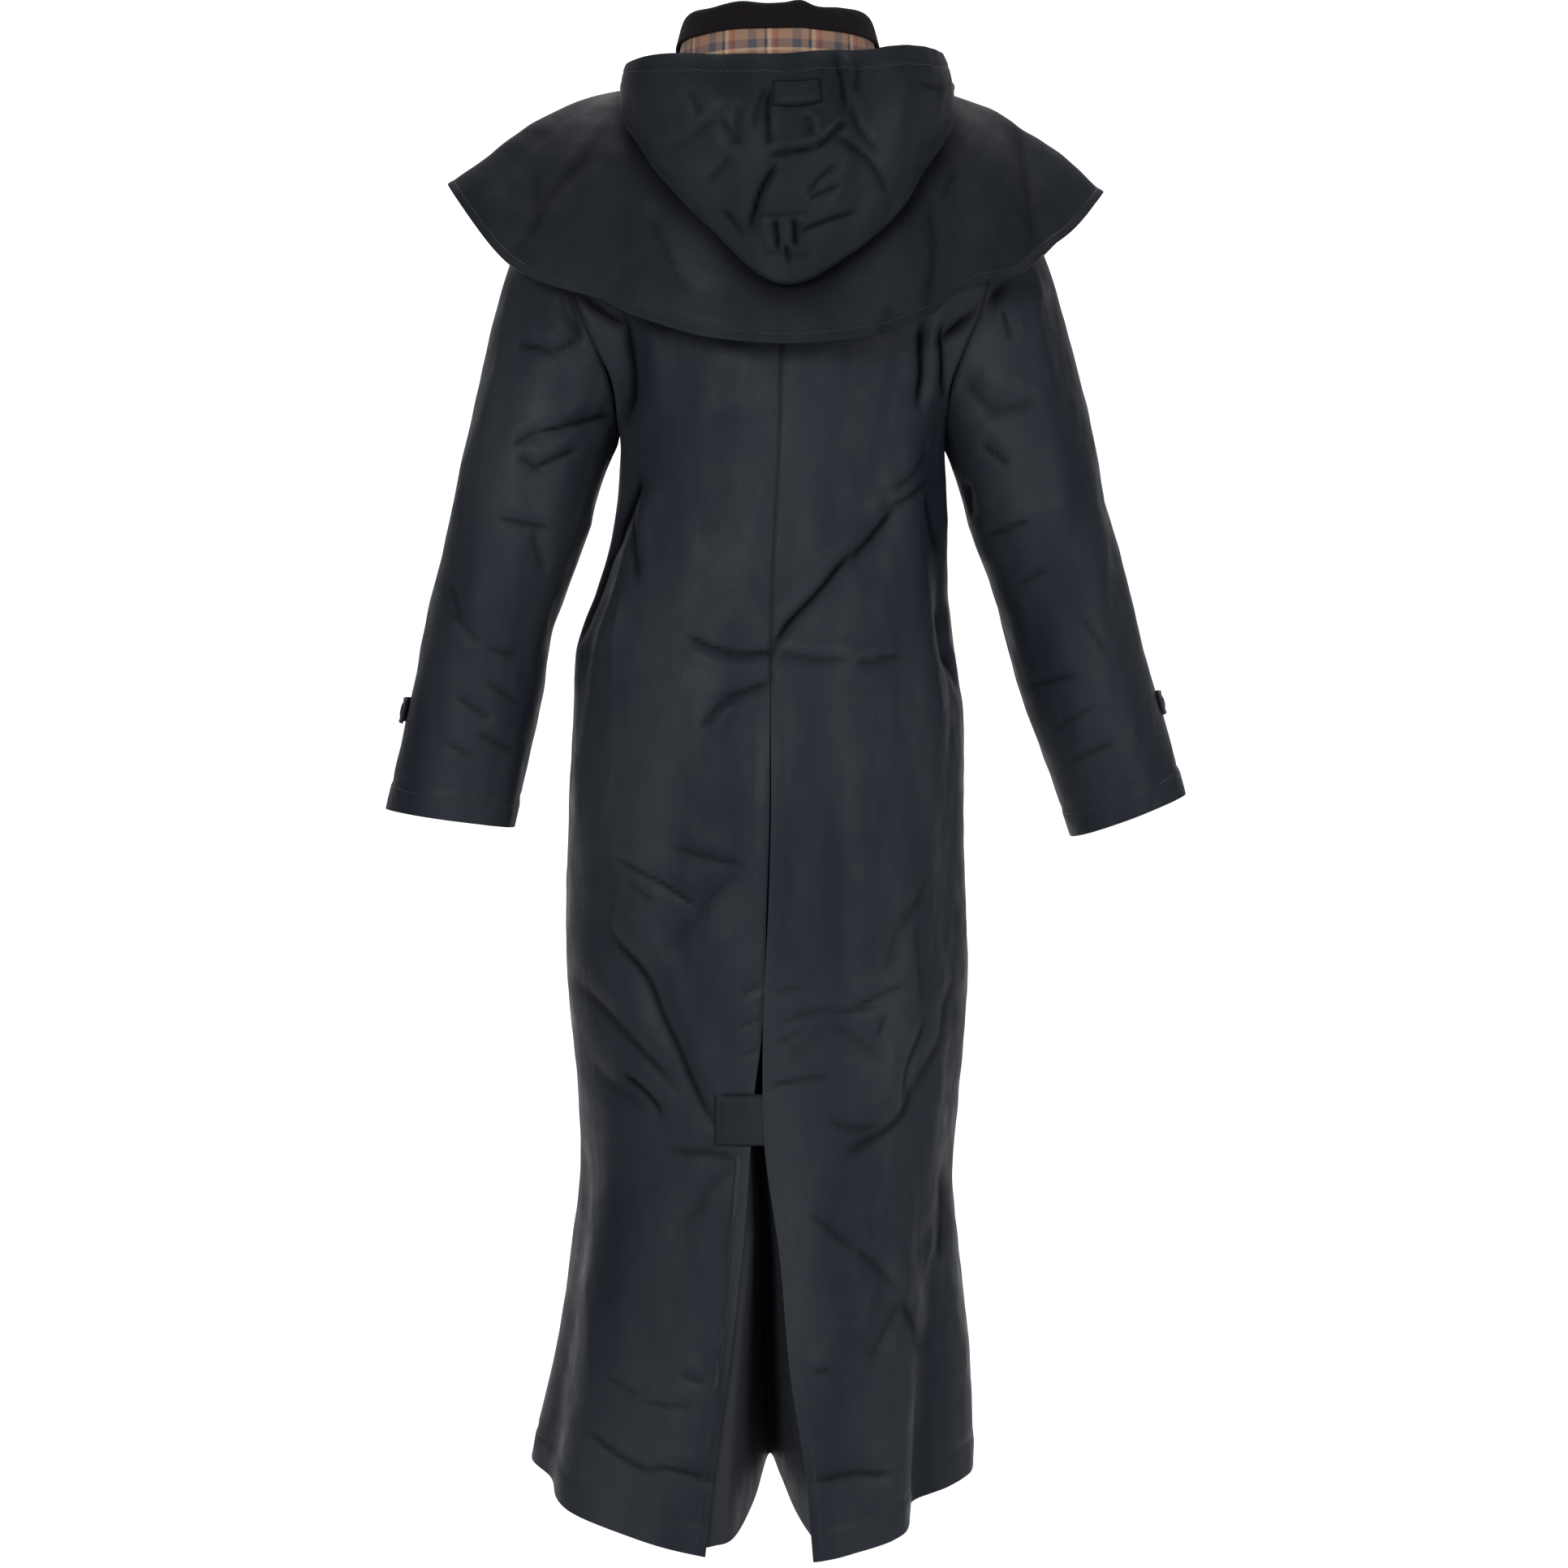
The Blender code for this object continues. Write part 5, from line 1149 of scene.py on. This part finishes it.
# %% Tab, straps and studs
TAB_CLOTH = 0.0014
STRAP_CLOTH = 0.0018
TAB_LIFT = 0.00194
STRAP_LIFT = 0.0024
PAD_HIGH = 0.0007
PAD_EDGE = (0.004, 0.009)
PAD_DENT = 0.0004
PAD_DENT_WIDE = 0.0012
TAB_ROW = 0.0035
LOOP_STAND = 0.0040
LOOP_SPREAD_DEG = 14.0
TAB_ACROSS = (-0.0575, -0.0070)
TAB_HEIGHT = (-0.966, -0.921)
TAB_GRID = (40, 44)
STRAP_TURN = (-3.0, 9.0)
STRAP_NEAR_ROWS = 192
STRAP_ROWS = slice(-52, -28)
STRAP_COLUMNS = 40
CUFF_STRAP_HEIGHT = (-0.6065, -0.5835)
CUFF_STRAP_WAY = (166.0, 290.0)
CUFF_STRAP_GRID = (18, 64)
STUDS = 5
# Painted shade round the edges of the tab and straps.
EDGE_PAINTED_SHADE = 0.65
EDGE_SPREAD = 0.0016


def edge_distance(grid):
    """Distance of each point from the nearest edge of its grid."""
    around = lengths(grid, 1)
    along = lengths(grid, 0)
    return np.minimum(np.minimum(around, around[:, -1:] - around), np.minimum(along, along[-1:] - along))


def patch(grid, side, lift):
    """Grid lifted along its normals, with the padded look, and painted shade in a dark line round its edge.
    """
    normals = grid_normals(grid, side)
    edge = edge_distance(grid)
    padded = PAD_HIGH * ease(edge, *PAD_EDGE) - PAD_DENT * bell(edge - TAB_ROW, PAD_DENT_WIDE)
    lifted = grid + normals * (lift + padded)[..., None]
    return lifted, grid_normals(lifted, side), EDGE_PAINTED_SHADE * bell(edge, EDGE_SPREAD)


tab_across = np.linspace(*TAB_ACROSS, TAB_GRID[1])[None, :]
tab_height = np.linspace(*TAB_HEIGHT, TAB_GRID[0])[:, None]
tab_base = body_ring(turn_at(tab_across, tab_height), tab_height)
cloth_wall("vent_tab", patch(tab_base, 1.0, TAB_LIFT), navy_painted_shade, TAB_CLOTH)

strap_turn = np.linspace(*STRAP_TURN, STRAP_COLUMNS)[None, :]
strap_base = hood_surface(strap_turn, STRAP_NEAR_ROWS)[STRAP_ROWS]
cloth_wall("hood_strap", patch(strap_base, 1.0, STRAP_LIFT), navy_painted_shade, STRAP_CLOTH)

for side, word in SIDES:
    strap_height = np.linspace(*CUFF_STRAP_HEIGHT, CUFF_STRAP_GRID[0])[:, None]
    strap_way = np.linspace(*CUFF_STRAP_WAY, CUFF_STRAP_GRID[1])[None, :]
    ring = sleeve_ring(side, strap_way, strap_height)[0]
    loop = STRAP_LIFT + LOOP_STAND * bell(strap_way - 180.0, LOOP_SPREAD_DEG)
    cloth_wall("cuff_strap_" + word, patch(ring, side, loop), navy, STRAP_CLOTH)

for number in range(1, STUDS + 1):
    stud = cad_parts["front_stud_%d" % number]
    stud.data.materials.clear()
    stud.data.materials.append(metal)
print("studs given a material:", STUDS)

# %% [markdown]
# ## Rows of stitches
# A stitch is a short spindle of thread half sunk in the cloth. One spindle is copied along a path
# at an even pitch, all at once: its points are given in the path's own directions, along it, beside
# it and out of the cloth.

# %% Rows of stitches
STITCH_PITCH = 0.0042
STITCH_LONG = 0.0030
STITCH_THICK = 0.00042
STITCH_LOOK = 0.001
EDGE_ROW = 0.009
SEAM_ROW = 0.006
CUFF_ROW = 0.021
ROW_MARGIN = 2
TAB_MARGIN = 3
RIM_MARGIN = 12
SPINDLE = table("along thick", "-0.5 0.35; -0.25 0.95; 0.25 0.95; 0.5 0.35")
SPINDLE_SIDES = 4


def stitch_row(name, *paths):
    """Spindles along paths; each path is a row of points with the cloth's outward directions there."""
    angle = np.linspace(0.0, 2.0 * np.pi, SPINDLE_SIDES + 1)[:-1]
    thick = SPINDLE["thick"][:, None] * STITCH_THICK
    spindle = points(SPINDLE["along"][:, None] * STITCH_LONG, thick * np.cos(angle), thick * np.sin(angle))
    made = []
    for path, out in paths:
        run = lengths(path[:, None], 0)[:, 0]
        spots = np.arange(STITCH_PITCH, run[-1] - STITCH_PITCH, STITCH_PITCH)
        place, above, ahead = (np.stack([np.interp(at, run, column) for column in values.T], axis=-1)
                               for at, values in ((spots, path), (spots, out), (spots + STITCH_LOOK, path)))
        along = unit(ahead - place)
        axes = np.stack([along, unit(np.cross(along, unit(above))), unit(above)], axis=1)
        made.append(place[:, None, None] + spindle @ axes[:, None])
    corners = np.concatenate(made)
    number = np.arange(thick.size * SPINDLE_SIDES).reshape(-1, SPINDLE_SIDES)
    beside = np.roll(number, -1, axis=1)
    skin = quads(number[:-1], beside[:-1], beside[1:], number[1:])
    start = np.arange(len(corners))[:, None, None] * number.size
    piece = add_mesh(name + "_stitches", corners.reshape(-1, 3), (skin + start).reshape(-1, 4), thread)
    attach(piece, "root")
    print("%-18s %7d stitches" % (piece.name, len(corners)))


def row_at(name, distance, axis, from_end=False, part=slice(ROW_MARGIN, -ROW_MARGIN)):
    """Path on a piece's grid at a set distance from its first or last row (axis 0) or column (axis 1)."""
    grid, normals = (np.moveaxis(values, axis, 0) for values in surfaces[name][:2])
    walked = lengths(grid, 0)
    if from_end:
        walked = walked[-1:] - walked
    nearest = np.abs(walked - distance).argmin(axis=0)[part]
    columns = np.arange(grid.shape[1])[part]
    return grid[nearest, columns], normals[nearest, columns]


for side, word in SIDES:
    name = "back_" + word
    vent_end = np.flatnonzero(surfaces[name][0][:, 0, 2] < VENT_TOP)[-1]
    stitch_row(name, row_at(name, EDGE_ROW, 1, part=slice(ROW_MARGIN, vent_end)),
               row_at(name, SEAM_ROW, 1, part=slice(vent_end + ROW_MARGIN, -ROW_MARGIN)),
               row_at(name, HEM_TURN["row"], 0))
    name = "front_" + word
    stitch_row(name, row_at(name, EDGE_ROW, 1), row_at(name, HEM_TURN["row"], 0))
    name = "sleeve_" + word
    stitch_row(name, row_at(name, CUFF_ROW, 0, True, slice(None)))
stitch_row("cape", row_at("cape", CAPE_TURN["row"], 0, True))
stitch_row("hood", row_at("hood", RIM_TURN["row"], 0, True, slice(RIM_MARGIN, -RIM_MARGIN)))
stitch_row("vent_tab", *(row_at("vent_tab", TAB_ROW, axis, end, slice(TAB_MARGIN, -TAB_MARGIN))
                         for axis in (0, 1) for end in (False, True)))

# %% [markdown]

# %% [markdown]
# ## Floor, light and camera
# A pale floor curves up behind the coat, so that no horizon shows. A soft light on each side of the
# camera keeps the shadows open, a third one brightens the backdrop from above, and the camera
# stands three metres behind the coat's back with the same narrow view that placed the creases.

# %% Floor, light and camera
FLOOR_HEIGHT = -1.55
SWEEP_RADIUS = 1.6
SWEEP_BACK = 2.2
FLOOR_HALF = 9.0
WALL_HEIGHT = 7.0
SWEEP_STEPS = 24
SENSOR_MM = 36.0
COAT_MIDDLE = (0.0, 0.0, -0.6)


def sweep():
    """Profile of floor, quarter circle and back wall, carried straight across."""
    angle = np.linspace(0.0, 0.5 * np.pi, SWEEP_STEPS)
    along = SWEEP_BACK + SWEEP_RADIUS * np.sin(angle)
    along = np.concatenate([[-FLOOR_HALF], along, [SWEEP_BACK + SWEEP_RADIUS]])
    height = np.concatenate([[0.0], SWEEP_RADIUS * (1.0 - np.cos(angle)), [WALL_HEIGHT]]) + FLOOR_HEIGHT
    grid = points(np.array([-FLOOR_HALF, FLOOR_HALF])[None, :], along[:, None], height[:, None])
    return grid.reshape(-1, 3), grid_faces(np.arange(grid[..., 0].size).reshape(grid.shape[:2]))


def area_light(name, place, target, size, power):
    """Square light of a given size that looks at a target."""
    light = bpy.data.lights.new(name, "AREA")
    light.size = size
    light.energy = power
    made = bpy.data.objects.new(name, light)
    made.location = place
    way = np.array(target) - np.array(place)
    flat = math.hypot(way[0], way[1])
    made.rotation_euler = (math.atan2(flat, -way[2]), 0.0, math.atan2(-way[0], way[1]))
    bpy.context.scene.collection.objects.link(made)


paper = speckled("paper", noise=(3.0, 2.0), dark=(0.90, 0.90, 0.90), light=(0.94, 0.94, 0.94),
                 rough=(0.8, 0.9), Specular_IOR_Level=0.1)
floor = add_mesh("floor", *sweep(), paper)

world = bpy.data.worlds.new("studio")
world.use_nodes = True
backdrop = world.node_tree.nodes["Background"].inputs
backdrop["Color"].default_value = (1.0, 1.0, 1.0, 1.0)
backdrop["Strength"].default_value = 0.22
bpy.context.scene.world = world
area_light("key", (-1.0, -2.6, 0.1), COAT_MIDDLE, size=0.7, power=47.0)
area_light("fill", (1.8, -2.4, -0.3), COAT_MIDDLE, size=1.0, power=38.5)
area_light("backdrop", (0.0, 1.5, 2.9), (0.0, 3.4, -0.6), size=2.4, power=190.0)

camera_data = bpy.data.cameras.new("camera")
camera_data.sensor_width = SENSOR_MM
camera_data.lens = SENSOR_MM * PICTURE_FOCUS / (2.0 * PICTURE_HALF)
camera = bpy.data.objects.new("camera", camera_data)
camera.location = CAMERA
camera.rotation_euler = (0.5 * math.pi, 0.0, 0.0)
bpy.context.scene.collection.objects.link(camera)
bpy.context.scene.camera = camera
bpy.context.scene.view_settings.view_transform = "Standard"
